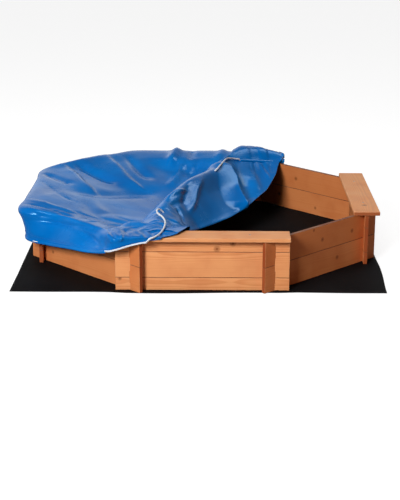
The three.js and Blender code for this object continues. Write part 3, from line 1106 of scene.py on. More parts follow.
@dataclass
class GroundSheet:
    """The square woven sheet that the sandbox stands on."""

    finish: WovenSheet = field(default_factory=WovenSheet)
    cells: int = 150
    thickness: float = 0.8 * MM
    base: float = 0.3 * MM
    edge_lift: float = 5 * MM
    edge_sway: float = 15 * MM
    ripple: float = 2.2 * MM

    def build(self) -> bpy.types.Object:
        """Builds the sheet with soft ripples and edges that don't lie quite flat or straight."""
        low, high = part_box("ground_sheet")
        size = (high.x - low.x, high.y - low.y)
        seat_out = -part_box("front_seat")[0].y
        across = np.linspace(0.0, 1.0, self.cells + 1)
        s, t = (a.ravel() for a in np.meshgrid(across, across, indexing="ij"))
        x = low.x + s * size[0] - self.edge_sway * self.sway(t, 1.0) * s ** 3 * 0.9
        y = low.y + t * size[1] + self.edge_sway * self.sway(s, 2.3) * (1 - t) ** 6 * 0.6
        reach = np.maximum.reduce([np.abs(x), np.abs(y), (np.abs(x) + np.abs(y)) * math.sqrt(0.5)])
        outside = np.clip((reach - seat_out + 0.02) / 0.05, 0, 1)
        inside = np.clip((seat_out - 0.14 - reach) / 0.08, 0, 1)
        border = np.minimum.reduce([s, 1 - s, t, 1 - t])
        z = np.full_like(x, self.base)
        z += self.ripple * (outside + inside) * self.waves(x, y)
        curl = self.edge_lift * outside * np.exp(-(border / 0.02) ** 2)
        z += curl * (0.5 + 0.5 * self.sway(s + t, 4.0)) * 0.5
        mesh = grid_mesh("ground_sheet_cloth", np.stack([x, y, z], axis=1), self.cells + 1, self.cells + 1)
        write_flat(mesh, np.stack([s * size[0], t * size[1]], axis=1))
        piece = new_object("ground_sheet_cloth", mesh)
        mesh.materials.append(self.finish.material())
        mesh.shade_smooth()
        thicken(piece, self.thickness, 1.0)
        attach(piece, "frame")
        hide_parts("ground_sheet")
        return piece

    @staticmethod
    def sway(t: np.ndarray, phase: float) -> np.ndarray:
        """A slow uneven wave between -1 and 1."""
        return 0.6 * np.sin(7.1 * t + phase) + 0.4 * np.sin(15.3 * t + 2.1 * phase)

    @staticmethod
    def waves(x: np.ndarray, y: np.ndarray) -> np.ndarray:
        """Soft ripples between 0 and 1."""
        first = np.sin(9 * x + 4 * y + 1.3) + np.sin(-5 * x + 11 * y + 0.4)
        second = np.sin(23 * x - 7 * y) + np.sin(6 * x + 27 * y + 2.0)
        return 0.5 + 0.17 * first + 0.08 * second


def grid_mesh(name: str, points: np.ndarray, rows: int, columns: int, flip: bool = False) -> bpy.types.Mesh:
    """A mesh of quads on a grid of points.

    Args:
        name: The mesh's name.
        points: One point for each place in the grid, row after row.
        rows: How many rows there are.
        columns: How many points each row has.
        flip: Whether the faces look the other way.

    Returns:
        The mesh.
    """
    r, c = (a.ravel() for a in np.meshgrid(np.arange(rows - 1), np.arange(columns - 1), indexing="ij"))
    first = r * columns + c
    faces = np.stack([first, first + columns, first + columns + 1, first + 1], axis=1)
    if flip:
        faces = faces[:, ::-1]
    mesh = bpy.data.meshes.new(name)
    mesh.from_pydata([tuple(p) for p in points], [], [tuple(int(i) for i in f) for f in faces])
    return mesh


def write_flat(mesh: bpy.types.Mesh, places: np.ndarray) -> None:
    """Gives a mesh a map named flat, with a place in metres for each point."""
    layer = mesh.uv_layers.new(name="flat")
    corners = np.zeros(len(mesh.loops), np.int64)
    mesh.loops.foreach_get("vertex_index", corners)
    layer.data.foreach_set("uv", places[corners].astype(np.float32).ravel())


def sweep(name: str, path: np.ndarray, outward: np.ndarray, size: tuple[float, float],
          sides: int, pitch: tuple[float, float]) -> bpy.types.Mesh:
    """A closed tube along a path, with a map named flat round it and along it.

    Args:
        name: The mesh's name.
        path: The points that the tube follows.
        outward: For each point, the direction that the tube's second size is measured in.
        size: The tube's width and its thickness, in metres.
        sides: How many sides it has.
        pitch: How many units the map has round the tube, and the length of one unit along it, in metres.

    Returns:
        The mesh, with both ends closed.
    """
    tangent = np.gradient(path, axis=0)
    tangent /= np.linalg.norm(tangent, axis=1, keepdims=True)
    across = np.cross(tangent, outward)
    across /= np.maximum(np.linalg.norm(across, axis=1, keepdims=True), 1e-9)
    out = np.cross(across, tangent)
    turn = np.linspace(0, 2 * math.pi, sides, endpoint=False)[None, :, None]
    sideways = across[:, None] * np.cos(turn) * size[0] / 2
    rings = path[:, None] + sideways + out[:, None] * np.sin(turn) * size[1] / 2
    count = len(path)
    faces = []
    for i in range(count - 1):
        for j in range(sides):
            k = (j + 1) % sides
            faces.append((i * sides + j, i * sides + k, (i + 1) * sides + k, (i + 1) * sides + j))
    faces.append(tuple(range(sides - 1, -1, -1)))
    faces.append(tuple((count - 1) * sides + j for j in range(sides)))
    mesh = bpy.data.meshes.new(name)
    mesh.from_pydata([tuple(p) for p in rings.reshape(-1, 3)], [], faces)
    along = np.concatenate([[0.0], np.cumsum(np.linalg.norm(np.diff(path, axis=0), axis=1))]) / pitch[1]
    layer = mesh.uv_layers.new(name="flat")
    for polygon in mesh.polygons[: (count - 1) * sides]:
        j = polygon.vertices[0] % sides
        for loop in polygon.loop_indices:
            vertex = mesh.loops[loop].vertex_index
            near = (vertex - j) % sides
            layer.data[loop].uv = ((j + near) * pitch[0] / sides, along[vertex // sides])
    mesh.shade_smooth()
    return mesh


def even_path(points: Sequence[Sequence[float]], step: float) -> np.ndarray:
    """A smooth curve through some points, as points that are evenly spaced.

    Args:
        points: The curve's own points.
        step: The distance between the new points.

    Returns:
        The new points.
    """
    fine = smooth_path(np.array(points, float), [12] * (len(points) - 1))
    along = np.concatenate([[0.0], np.cumsum(np.linalg.norm(np.diff(fine, axis=0), axis=1))])
    places = np.linspace(0, along[-1], max(3, round(along[-1] / step)))
    return np.stack([np.interp(places, along, fine[:, k]) for k in range(3)], axis=1)


def smooth_path(points: np.ndarray, steps: Sequence[int]) -> np.ndarray:
    """Points on a centripetal Catmull-Rom curve, with a set number of steps in each span.

    Args:
        points: The curve's own points, with the curve's order as first axis and coordinates as last one.
        steps: The number of steps from each point to the next.

    Returns:
        The curve's points, the last one included.
    """
    ends = [2 * points[0] - points[1], *points, 2 * points[-1] - points[-2]]
    result = []
    for i, count in enumerate(steps):
        p = ends[i : i + 4]
        knots = [np.zeros(p[0].shape[:-1])]
        for a, b in zip(p, p[1:]):
            knots.append(knots[-1] + np.maximum(np.linalg.norm(b - a, axis=-1), 1e-6) ** 0.5)
        for step in range(count):
            t = (knots[1] + (knots[2] - knots[1]) * step / count)[..., None]
            k = [knot[..., None] for knot in knots]
            a1 = (k[1] - t) / (k[1] - k[0]) * p[0] + (t - k[0]) / (k[1] - k[0]) * p[1]
            a2 = (k[2] - t) / (k[2] - k[1]) * p[1] + (t - k[1]) / (k[2] - k[1]) * p[2]
            a3 = (k[3] - t) / (k[3] - k[2]) * p[2] + (t - k[2]) / (k[3] - k[2]) * p[3]
            b1 = (k[2] - t) / (k[2] - k[0]) * a1 + (t - k[0]) / (k[2] - k[0]) * a2
            b2 = (k[3] - t) / (k[3] - k[1]) * a2 + (t - k[1]) / (k[3] - k[1]) * a3
            result.append((k[2] - t) / (k[2] - k[1]) * b1 + (t - k[1]) / (k[2] - k[1]) * b2)
    result.append(points[-1])
    return np.array(result)


@dataclass(frozen=True)
class Column:
    """One line over the cover, from its hem up the skirt and over the rim, beside one wall.

    Attributes:
        wall: The wall's number.
        along: The place along that wall.
        puff: How far the rim stands out.
        rise: How far it stands up.
        hem_rise: How far the hem is pulled up.
        dip: How far the rim lies lower.
    """

    wall: int
    along: float
    puff: float = 0.0
    rise: float = 0.0
    hem_rise: float = 0.0
    dip: float = 0.0


class FoldKind(Enum):
    """How sharp a fold in the cover is across its line."""

    SOFT = "soft"
    SHARP = "sharp"
    STEP = "step"


class Layer(Enum):
    """Which part of the cover a fold lies in: the part over the walls, or the part turned back over it."""

    UNDER = "under"
    OVER = "over"


@dataclass(frozen=True)
class Fold:
    """A ridge or, with a height below 0, a valley pressed into the cover along a line of points.

    Attributes:
        layer: The part of the cover that it lies in.
        line: Its points, in metres.
        height: How far it stands out of the cloth, in millimetres.
        width: How wide it is, in millimetres.
        kind: How sharp it is.
        fade: The share of the line over which it runs out at each end.
    """

    layer: Layer
    line: tuple[tuple[float, float, float], ...]
    height: float
    width: float
    kind: FoldKind = FoldKind.SOFT
    fade: float = 0.3

    def press(self, points: np.ndarray) -> tuple[np.ndarray, np.ndarray]:
        """How far the fold moves each point, and how close the point is to its sharp line.

        Args:
            points: The cloth's points, with the coordinates as last axis.

        Returns:
            The movement along the cloth's normal in metres, and a mask between 0 and 1.
        """
        line = np.array(self.line)
        if len(line) > 2:
            line = smooth_path(line, [6] * (len(line) - 1))
        nearest = np.full(points.shape[:-1], np.inf)
        share = np.zeros(points.shape[:-1])
        on_left = np.zeros(points.shape[:-1], bool)
        for i, (start, end) in enumerate(zip(line, line[1:])):
            span = end - start
            t = np.clip(((points - start) @ span) / (span @ span), 0.0, 1.0)
            distance = np.linalg.norm(points - start - t[..., None] * span, axis=-1)
            closer = distance < nearest
            nearest = np.where(closer, distance, nearest)
            share = np.where(closer, (i + t) / (len(line) - 1), share)
            away = points - start
            on_left = np.where(closer, span[0] * away[..., 1] > span[1] * away[..., 0], on_left)
        ends = np.clip(np.minimum(share, 1 - share) / self.fade, 0.0, 1.0)
        ends = ends * ends * (3 - 2 * ends)
        half = self.width * MM / 2
        soft = np.exp(-((nearest / (0.6 * half)) ** 2))
        if self.kind is FoldKind.SOFT:
            return self.height * MM * soft * ends, 0.25 * soft * ends
        if self.kind is FoldKind.STEP:
            half = np.where(on_left, 2 * half, 0.5 * half)
            ramp = np.clip(1.0 - nearest / half, 0.0, 1.0)
            ramp = np.where(on_left, ramp ** 1.2, ramp * ramp * (3 - 2 * ramp))
            return self.height * MM * ramp * ends, 0.5 * np.clip(1.0 - nearest / (8 * MM), 0.0, 1.0) * ends
        ramp = np.clip(1.0 - nearest / half, 0.0, 1.0) ** 1.4
        line_mask = np.clip(1.0 - nearest / (4 * MM + 0.2 * half), 0.0, 1.0) * ends
        return self.height * MM * (0.75 * ramp + 0.25 * soft) * ends, line_mask


@dataclass(frozen=True)
class Crumple:
    """Flat facets with sharp edges between them, as coated cloth takes them where it is bunched.

    Attributes:
        middle: The middle of the crumpled patch, in metres.
        reach: How far the patch reaches, in metres.
        cell: How far the facets' corners are apart, in metres.
        height: How far the corners stand in and out, in metres.
        stretch: How much longer the facets are up the cover than along its hem.
    """

    middle: tuple[float, float, float]
    reach: float
    cell: float
    height: float
    stretch: float = 1.0

    def press(self, points: np.ndarray, flat: np.ndarray, seed: int) -> np.ndarray:
        """How far the facets move each point.

        Args:
            points: The cloth's points.
            flat: Their places on the cloth laid flat.
            seed: The seed of the corners' places and heights.

        Returns:
            The movement along the cloth's normal, in metres.
        """
        away = np.linalg.norm(points - np.array(self.middle), axis=-1) / self.reach
        share = np.exp(-(away ** 4))
        near = share > 0.02
        if not near.any():
            return np.zeros(points.shape[:-1])
        size = np.array((self.cell, self.cell * self.stretch))
        places = flat[near] / size
        low, high = places.min(axis=0) - 1.5, places.max(axis=0) + 1.5
        random = np.random.default_rng(seed)
        sides = np.arange(low[0], high[0]), np.arange(low[1], high[1])
        nodes = np.stack(np.meshgrid(*sides, indexing="ij"), axis=-1)
        nodes = nodes.reshape(-1, 2) + random.uniform(-0.38, 0.38, (nodes.size // 2, 2))
        heights = random.uniform(-1.0, 1.0, len(nodes))
        triangles = delaunay_2d_cdt([Vector(n) for n in nodes], [], [], 0, 1e-6)[2]
        result = np.zeros(len(places))
        for corners in triangles:
            a, b, c = nodes[list(corners)]
            least, most = np.minimum.reduce([a, b, c]), np.maximum.reduce([a, b, c])
            box = np.all((places >= least) & (places <= most), axis=1)
            if not box.any():
                continue
            place = places[box] - a
            turn = np.linalg.inv(np.stack([b - a, c - a], axis=1))
            s, t = turn @ place.T
            inside = (s >= -1e-6) & (t >= -1e-6) & (s + t <= 1 + 1e-6)
            value = heights[corners[0]] * (1 - s - t) + heights[corners[1]] * s + heights[corners[2]] * t
            kept = result[box]
            kept[inside] = value[inside]
            result[box] = kept
        moved = np.zeros(points.shape[:-1])
        moved[near] = result * self.height * share[near]
        return moved


@dataclass(frozen=True)
class TurnedBack:
    """The part of the cover that is turned back, as five lines from the front seat to the back seat.

    The edge, where the cloth turns, is straight between its points, each given with its share of the way. The
    other lines' points are evenly spaced along it. Past their eighth point the cloth turns forward again, so
    the back line and the hem lie over the face there as a cuff.
    """

    edge: tuple[tuple[float, float, float, float], ...] = (
        (0.0, -0.090, -0.655, 0.2265),
        (0.053, -0.052, -0.565, 0.2250),
        (0.12, -0.055, -0.440, 0.170),
        (0.25, -0.029, -0.274, 0.125),
        (0.379, 0.047, -0.135, 0.113),
        (0.474, 0.110, -0.036, 0.112),
        (0.579, 0.169, 0.079, 0.115),
        (0.789, 0.272, 0.300, 0.143),
        (0.879, 0.317, 0.414, 0.180),
        (1.0, 0.342, 0.564, 0.213),
    )
    face: tuple[Place, ...] = (
        (-0.125, -0.628, 0.2270),
        (-0.115, -0.460, 0.203),
        (-0.096, -0.317, 0.202),
        (-0.055, -0.193, 0.202),
        (0.001, -0.047, 0.202),
        (0.064, 0.104, 0.188),
        (0.139, 0.258, 0.170),
        (0.198, 0.361, 0.186),
        (0.242, 0.465, 0.196),
        (0.290, 0.530, 0.206),
        (0.350, 0.575, 0.218),
    )
    ridge: tuple[Place, ...] = (
        (-0.170, -0.620, 0.2280),
        (-0.172, -0.423, 0.232),
        (-0.148, -0.299, 0.246),
        (-0.107, -0.177, 0.262),
        (-0.054, -0.022, 0.270),
        (0.012, 0.135, 0.264),
        (0.078, 0.296, 0.252),
        (0.142, 0.555, 0.277),
        (0.205, 0.600, 0.277),
        (0.283, 0.625, 0.258),
        (0.358, 0.645, 0.230),
    )
    back: tuple[Place, ...] = (
        (-0.210, -0.630, 0.2270),
        (-0.215, -0.420, 0.215),
        (-0.195, -0.275, 0.215),
        (-0.160, -0.145, 0.220),
        (-0.105, 0.015, 0.225),
        (-0.035, 0.175, 0.230),
        (0.055, 0.325, 0.258),
        (0.146, 0.500, 0.276),
        (0.214, 0.560, 0.275),
        (0.292, 0.597, 0.257),
        (0.362, 0.620, 0.233),
    )
    hem: tuple[Place, ...] = (
        (-0.240, -0.645, 0.2260),
        (-0.245, -0.420, 0.190),
        (-0.230, -0.270, 0.168),
        (-0.200, -0.130, 0.158),
        (-0.140, 0.040, 0.156),
        (-0.060, 0.190, 0.172),
        (0.045, 0.335, 0.252),
        (0.145, 0.450, 0.243),
        (0.220, 0.510, 0.227),
        (0.298, 0.555, 0.213),
        (0.361, 0.585, 0.207),
    )
    lip_share: float = 0.2
    steps: int = 19

    def edge_at(self, u: float) -> Vector:
        """The edge's point at one share of the way from the front to the back."""
        shares = [point[0] for point in self.edge]
        return Vector([np.interp(u, shares, [point[k] for point in self.edge]) for k in (1, 2, 3)])

    def at(self, u: float) -> list[Vector]:
        """The points of the other lines at one share of the way, with a lip between the edge and the face."""
        points = []
        for line in (self.face, self.ridge, self.back, self.hem):
            path = smooth_path(np.array(line), [self.steps] * (len(line) - 1))
            points.append(Vector(path[round(u * (len(path) - 1))]))
        lip = self.edge_at(u).lerp(points[0], self.lip_share)
        return [lip, *points]


@dataclass
class Cover:
    """The soft cover: one sheet that lies over the left of the sandbox and is turned back over itself."""

    finish: CoatedFabric = field(default_factory=CoatedFabric)
    air: float = 6 * MM
    side_air: float = 12 * MM
    front_end: float = -0.15
    back_overhang: float = 35 * MM
    skirt_drop: float = 0.114
    bowl_sag: float = 26 * MM
    left_puff: float = 13 * MM
    corner_puff: float = 62 * MM
    corner_rise: float = 34 * MM
    back_puff: float = 6 * MM
    left_tuck: float = 26 * MM
    left_notch: float = 9 * MM
    notch_share: float = 0.62
    ear_hold: float = 0.78
    hem_in: float = 4.5 * MM
    corner_in: float = 27 * MM
    diagonal_hem_in: float = 18 * MM
    diagonal_out: float = 19.5 * MM
    diagonal_in: float = 16.5 * MM
    clear_gap: float = 2.5 * MM
    seat_reach: float = 12 * MM
    thickness: float = 1.0 * MM
    cut: tuple[float, float] = (1.70, 1.70)
    cut_area: float = 2.39
    column_steps: tuple[int, ...] = (
        *(20, 20, 20, 18, 18, 16, 14, 14, 14, 14),
        *(14, 12, 12, 12, 12, 14, 14, 16, 18),
    )
    row_steps: tuple[int, ...] = (10, 12, 12, 16, 16, 16, 14, 18, 18, 14, 12)
    edge_row: int = 6
    turned_back: TurnedBack = field(default_factory=TurnedBack)

    def __post_init__(self) -> None:
        """Takes the sizes of the walls and seats from the frame."""
        low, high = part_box("front_seat")
        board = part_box("front_wall_top_board")
        self.half_board = (high.x - low.x) / 2
        self.seat_out = -low.y
        self.seat_in = -high.y
        self.seat_top = high.z
        self.wall_top = board[1].z
        self.apothem = -(board[0].y + board[1].y) / 2
        self.rim_top = self.seat_top + self.air
        self.rim_out = self.seat_out + self.side_air
        self.rim_in = self.seat_in - self.side_air + 3 * MM
        self.corner = self.half_board + 9 * MM

    def columns(self) -> list[Column]:
        """The cover's lines, from the front seat round the left side to the back seat.

        Returns:
            The columns, in order.
        """
        corner, quarter, aside = self.corner, self.half_board / 2, self.apothem * 0.2
        drop, left = self.skirt_drop, self.left_puff
        pushed = dict(puff=self.corner_puff, rise=self.corner_rise, hem_rise=drop * 0.07)
        return [
            Column(0, self.front_end, hem_rise=drop * 0.93),
            Column(0, (self.front_end - corner) / 2, hem_rise=drop * 0.8),
            Column(0, -corner, hem_rise=drop * 0.55),
            Column(7, aside, hem_rise=drop * 0.37),
            Column(7, 0, hem_rise=drop * 0.25),
            Column(7, -aside, hem_rise=drop * 0.13),
            Column(6, corner, puff=left * 0.6),
            Column(6, quarter, puff=left),
            Column(6, 0, puff=left),
            Column(6, -quarter, puff=left),
            Column(6, -corner, puff=left * 0.8),
            Column(5, aside, **pushed),
            Column(5, 0, **pushed),
            Column(5, -aside, puff=self.corner_puff, rise=self.corner_rise * 0.8, hem_rise=drop * 0.07),
            Column(4, corner, puff=self.back_puff),
            Column(4, quarter, puff=self.back_puff),
            Column(4, 0, puff=self.back_puff),
            Column(4, -quarter, puff=self.back_puff),
            Column(4, -corner, puff=self.back_puff, hem_rise=drop * 0.1),
            Column(4, -self.half_board - self.back_overhang, dip=6 * MM, hem_rise=drop * 0.4),
        ]

    def between_ears(self, column: Column) -> float:
        """How far the skirt falls in at a column: most in the middle of a wall, least at its ends."""
        return 1.0 - self.ear_hold * abs(column.along) / self.corner

    def outside(self, column: Column) -> tuple[Vector, Vector, Vector]:
        """The hem, the rim's outer line and its inner line in one column.

        Args:
            column: The column.

        Returns:
            The three points.
        """
        if column.wall % 2 == 0:
            rim = self.rim_top - column.dip
            inner = math.copysign(min(abs(column.along), self.corner - self.corner_in), column.along)
            hem_up = rim - self.skirt_drop + column.hem_rise
            flare = 1.02 if abs(column.along) >= self.corner else 1.0
            tuck = self.left_tuck * self.between_ears(column) if column.wall == 6 else 0.0
            return (
                beside_wall(column.wall, column.along * flare, self.rim_out - self.hem_in - tuck, hem_up),
                beside_wall(column.wall, column.along, self.rim_out + column.puff, rim),
                beside_wall(column.wall, inner, self.rim_in, rim),
            )
        across = (self.rim_out + self.corner) * math.sqrt(0.5)
        outer, inner = self.apothem + self.diagonal_out, self.apothem - self.diagonal_in
        top = self.wall_top + self.air
        hem_up = top - self.skirt_drop + column.hem_rise
        return (
            beside_wall(column.wall, column.along, across - self.diagonal_hem_in + column.puff / 3, hem_up),
            beside_wall(column.wall, column.along, outer + column.puff, top + column.rise),
            beside_wall(column.wall, column.along * 0.85, inner, top + column.rise / 2),
        )

    def control_rows(self) -> np.ndarray:
        """The points that the sheet's surface follows: a row of points for each column.

        Returns:
            The points, columns by rows.
        """
        columns = self.columns()
        net = []
        for i, column in enumerate(columns):
            u = i / (len(columns) - 1)
            net.append(self.column_points(column, u))
        return np.array(net)

    def column_points(self, column: Column, u: float) -> list[Vector]:
        """One column of points: up the skirt, over the rim, down to the turned-back edge and back over it.

        Args:
            column: The column.
            u: How far along the cover it is, 0 to 1.

        Returns:
            The points, from the hem on.
        """
        hem, outer, inner = self.outside(column)
        edge = self.turned_back.edge_at(u)
        if u == 0.0:
            inner = outer.lerp(edge, 0.3)
        span = (edge - inner).length / (self.rim_in * 2)
        bowl = []
        for share in (1 / 3, 2 / 3):
            point = inner.lerp(edge, share)
            point.z -= self.bowl_sag * span * 4 * share * (1 - share)
            bowl.append(point)
        skirt = hem.lerp(outer, 0.5)
        if column.wall == 6:
            fall = self.left_notch * self.between_ears(column)
            skirt = hem.lerp(outer, self.notch_share) + beside_wall(column.wall, 0.0, -fall, 0.0)
        return [hem, skirt, outer, inner, *bowl, edge, *self.turned_back.at(u)]

    def folds(self) -> list[Fold]:
        """The larger ridges and valleys of the cloth.

        Returns:
            The folds.
        """
        under, over, sharp, step = Layer.UNDER, Layer.OVER, FoldKind.SHARP, FoldKind.STEP
        in_bowl = [
            Fold(under,
                 ((-0.60, -0.05, 0.2), (-0.45, 0.03, 0.18), (-0.28, 0.17, 0.15), (-0.16, 0.29, 0.14)),
                 -10, 130),
            Fold(under,
                 ((-0.43, 0.0, 0.185), (-0.515, 0.125, 0.21), (-0.565, 0.25, 0.22), (-0.655, 0.42, 0.235)),
                 15, 80, step),
            Fold(under,
                 ((-0.255, 0.205, 0.155), (-0.33, 0.30, 0.18), (-0.39, 0.42, 0.21), (-0.475, 0.60, 0.235)),
                 14, 90, step),
            Fold(under, ((-0.705, 0.26, 0.23), (-0.635, 0.165, 0.23), (-0.55, 0.07, 0.22)), -12, 50),
            Fold(under, ((-0.60, 0.44, 0.235), (-0.485, 0.325, 0.205), (-0.37, 0.25, 0.175)), -18, 100),
            Fold(under, ((-0.37, 0.62, 0.225), (-0.295, 0.445, 0.195), (-0.235, 0.335, 0.17)), -14, 80),
            Fold(under,
                 ((-0.73, 0.17, 0.23), (-0.645, 0.02, 0.23), (-0.585, -0.1, 0.225), (-0.475, -0.21, 0.195)),
                 -6, 16, sharp),
            Fold(under,
                 ((-0.08, 0.66, 0.225), (-0.105, 0.515, 0.19), (-0.14, 0.345, 0.16), (-0.17, 0.265, 0.15)),
                 15, 45),
            Fold(under, ((-0.03, 0.66, 0.225), (-0.035, 0.515, 0.19), (-0.085, 0.415, 0.16)), -12, 50),
            Fold(under,
                 ((-0.125, 0.74, 0.21), (-0.135, 0.665, 0.23), (-0.15, 0.58, 0.22), (-0.18, 0.46, 0.18)),
                 20, 70),
            Fold(under, ((-0.055, 0.72, 0.22), (-0.06, 0.65, 0.23), (-0.065, 0.545, 0.215)), -12, 45),
            Fold(under, ((0.085, 0.72, 0.22), (0.08, 0.665, 0.235), (0.05, 0.545, 0.215)), 10, 60),
            Fold(under, ((-0.37, -0.215, 0.17), (-0.30, -0.255, 0.155), (-0.24, -0.255, 0.145)), -5, 24),
        ]
        over_left_rim = [
            Fold(under,
                 ((-0.74, -0.19, 0.23), (-0.635, -0.255, 0.23), (-0.57, -0.285, 0.22), (-0.46, -0.345, 0.2)),
                 7, 32, sharp),
            Fold(under, ((-0.73, -0.265, 0.235), (-0.605, -0.315, 0.225), (-0.48, -0.41, 0.205)), -8, 26),
            Fold(under,
                 ((-0.72, -0.325, 0.23), (-0.64, -0.355, 0.22), (-0.56, -0.38, 0.21), (-0.46, -0.47, 0.21)),
                 7, 28, sharp),
            Fold(under, ((-0.46, -0.47, 0.21), (-0.38, -0.42, 0.19), (-0.25, -0.35, 0.155)), 6, 28, sharp),
            Fold(under,
                 ((-0.72, -0.34, 0.19), (-0.59, -0.38, 0.185), (-0.485, -0.47, 0.2), (-0.35, -0.59, 0.21)),
                 -10, 28),
            Fold(under,
                 ((-0.58, -0.38, 0.185), (-0.49, -0.47, 0.185), (-0.43, -0.535, 0.175),
                  (-0.355, -0.68, 0.16)),
                 -9, 30),
            Fold(under,
                 ((-0.73, 0.16, 0.19), (-0.73, 0.0, 0.19), (-0.72, -0.17, 0.185)),
                 -14, 50, FoldKind.SOFT, 0.3),
        ]
        turned_back = [
            Fold(over,
                 ((0.19, 0.06, 0.11), (0.145, 0.19, 0.15), (0.125, 0.26, 0.185), (0.09, 0.36, 0.24)),
                 34, 110, step, 0.12),
            Fold(over, ((0.205, 0.12, 0.12), (0.20, 0.245, 0.15), (0.185, 0.37, 0.195)), -13, 100),
            Fold(over,
                 ((0.0, 0.09, 0.265), (-0.03, -0.06, 0.235), (-0.04, -0.145, 0.205), (-0.055, -0.29, 0.195)),
                 9, 46, sharp),
            Fold(over, ((-0.05, -0.03, 0.265), (-0.075, -0.15, 0.24), (-0.07, -0.26, 0.2)), -9, 70),
            Fold(over,
                 ((0.0, -0.13, 0.19), (0.075, -0.075, 0.17), (0.12, 0.0, 0.14), (0.18, 0.10, 0.115)),
                 9, 30, sharp),
            Fold(over, ((0.25, 0.53, 0.215), (0.275, 0.45, 0.19), (0.295, 0.38, 0.16)), 8, 30, sharp),
            Fold(over, ((0.305, 0.54, 0.215), (0.31, 0.44, 0.18)), -8, 28),
            Fold(over, ((0.21, 0.44, 0.20), (0.225, 0.36, 0.17), (0.235, 0.27, 0.145)), 5, 60),
        ]
        gathered = [
            Fold(over, ((-0.165, -0.30, 0.25), (-0.11, -0.19, 0.26), (-0.06, -0.11, 0.25)), 10, 30, sharp),
            Fold(over, ((-0.14, -0.33, 0.235), (-0.09, -0.24, 0.235), (-0.045, -0.17, 0.225)), -6, 44),
            Fold(under,
                 ((-0.34, -0.49, 0.17), (-0.22, -0.53, 0.18), (-0.11, -0.54, 0.18)),
                 40, 130, FoldKind.SOFT, 0.25),
            Fold(over,
                 ((-0.165, -0.43, 0.225), (-0.12, -0.435, 0.205), (-0.065, -0.42, 0.185)),
                 9, 18, sharp),
            Fold(over, ((-0.12, -0.27, 0.225), (-0.08, -0.325, 0.195), (-0.06, -0.43, 0.18)), -6, 40),
            Fold(over, ((-0.17, -0.50, 0.23), (-0.13, -0.555, 0.21), (-0.09, -0.47, 0.18)), 8, 18, sharp),
            Fold(under,
                 ((-0.225, -0.215, 0.14), (-0.19, -0.295, 0.14), (-0.155, -0.235, 0.13)),
                 8, 16, sharp),
            Fold(under, ((-0.395, -0.51, 0.21), (-0.35, -0.67, 0.225), (-0.325, -0.73, 0.195)), 8, 16, sharp),
            Fold(under, ((-0.32, -0.59, 0.225), (-0.295, -0.705, 0.23), (-0.30, -0.735, 0.19)), 9, 16, sharp),
            Fold(under, ((-0.28, -0.58, 0.225), (-0.23, -0.67, 0.23), (-0.21, -0.72, 0.215)), 9, 16, sharp),
            Fold(under, ((-0.295, -0.61, 0.23), (-0.26, -0.72, 0.22)), -8, 16),
            Fold(under, ((-0.365, -0.56, 0.215), (-0.32, -0.715, 0.225), (-0.315, -0.73, 0.19)), -8, 18),
            Fold(under, ((-0.215, -0.61, 0.225), (-0.185, -0.70, 0.225)), 7, 14, sharp),
        ]
        return in_bowl + over_left_rim + turned_back + gathered

    def crumples(self) -> list[Crumple]:
        """The patches where the cloth is bunched, and the faint facets all over it.

        Returns:
            The patches.
        """
        return [
            Crumple((-0.28, -0.66, 0.21), 0.17, 0.045, 6.0 * MM, 1.4),
            Crumple((-0.28, -0.66, 0.21), 0.15, 0.020, 2.0 * MM),
            Crumple((-0.15, -0.47, 0.21), 0.15, 0.045, 5.0 * MM, 1.5),
            Crumple((-0.15, -0.48, 0.21), 0.13, 0.020, 1.8 * MM),
            Crumple((-0.62, -0.35, 0.16), 0.34, 0.085, 6.0 * MM, 0.7),
            Crumple((0.05, 0.62, 0.22), 0.32, 0.08, 3.5 * MM, 1.5),
            Crumple((-0.2, 0.0, 0.2), 1.4, 0.17, 1.4 * MM),
        ]

    def surface(self) -> np.ndarray:
        """The sheet's points before folding: a grid of columns by rows.

        Returns:
            The points, columns by rows.
        """
        net = self.control_rows()
        along = smooth_path(net, self.column_steps)
        rows = smooth_path(along.transpose(1, 0, 2), self.row_steps)
        return rows.transpose(1, 0, 2)

    @staticmethod
    def laid_flat(points: np.ndarray) -> np.ndarray:
        """Where each point lies on the cloth laid flat: along the hem and up from it, in metres.

        Args:
            points: The sheet's points.

        Returns:
            The two measures of each point.
        """
        steps = np.linalg.norm(np.diff(points, axis=1), axis=-1)
        up = np.concatenate([np.zeros((len(points), 1)), np.cumsum(steps, axis=1)], axis=1)
        sides = np.linalg.norm(np.diff(points, axis=0), axis=-1).mean(axis=1)
        across = np.concatenate([[0.0], np.cumsum(sides)])
        return np.stack([np.repeat(across[:, None], points.shape[1], axis=1), up], axis=-1)

    @staticmethod
    def normals(points: np.ndarray) -> np.ndarray:
        """The cloth's normals, on the side that is outside where it lies over the walls.

        Args:
            points: The sheet's points.

        Returns:
            The normals.
        """
        across = np.gradient(points, axis=0)
        up = np.gradient(points, axis=1)
        normal = np.cross(up, across)
        return normal / np.maximum(np.linalg.norm(normal, axis=-1, keepdims=True), 1e-9)

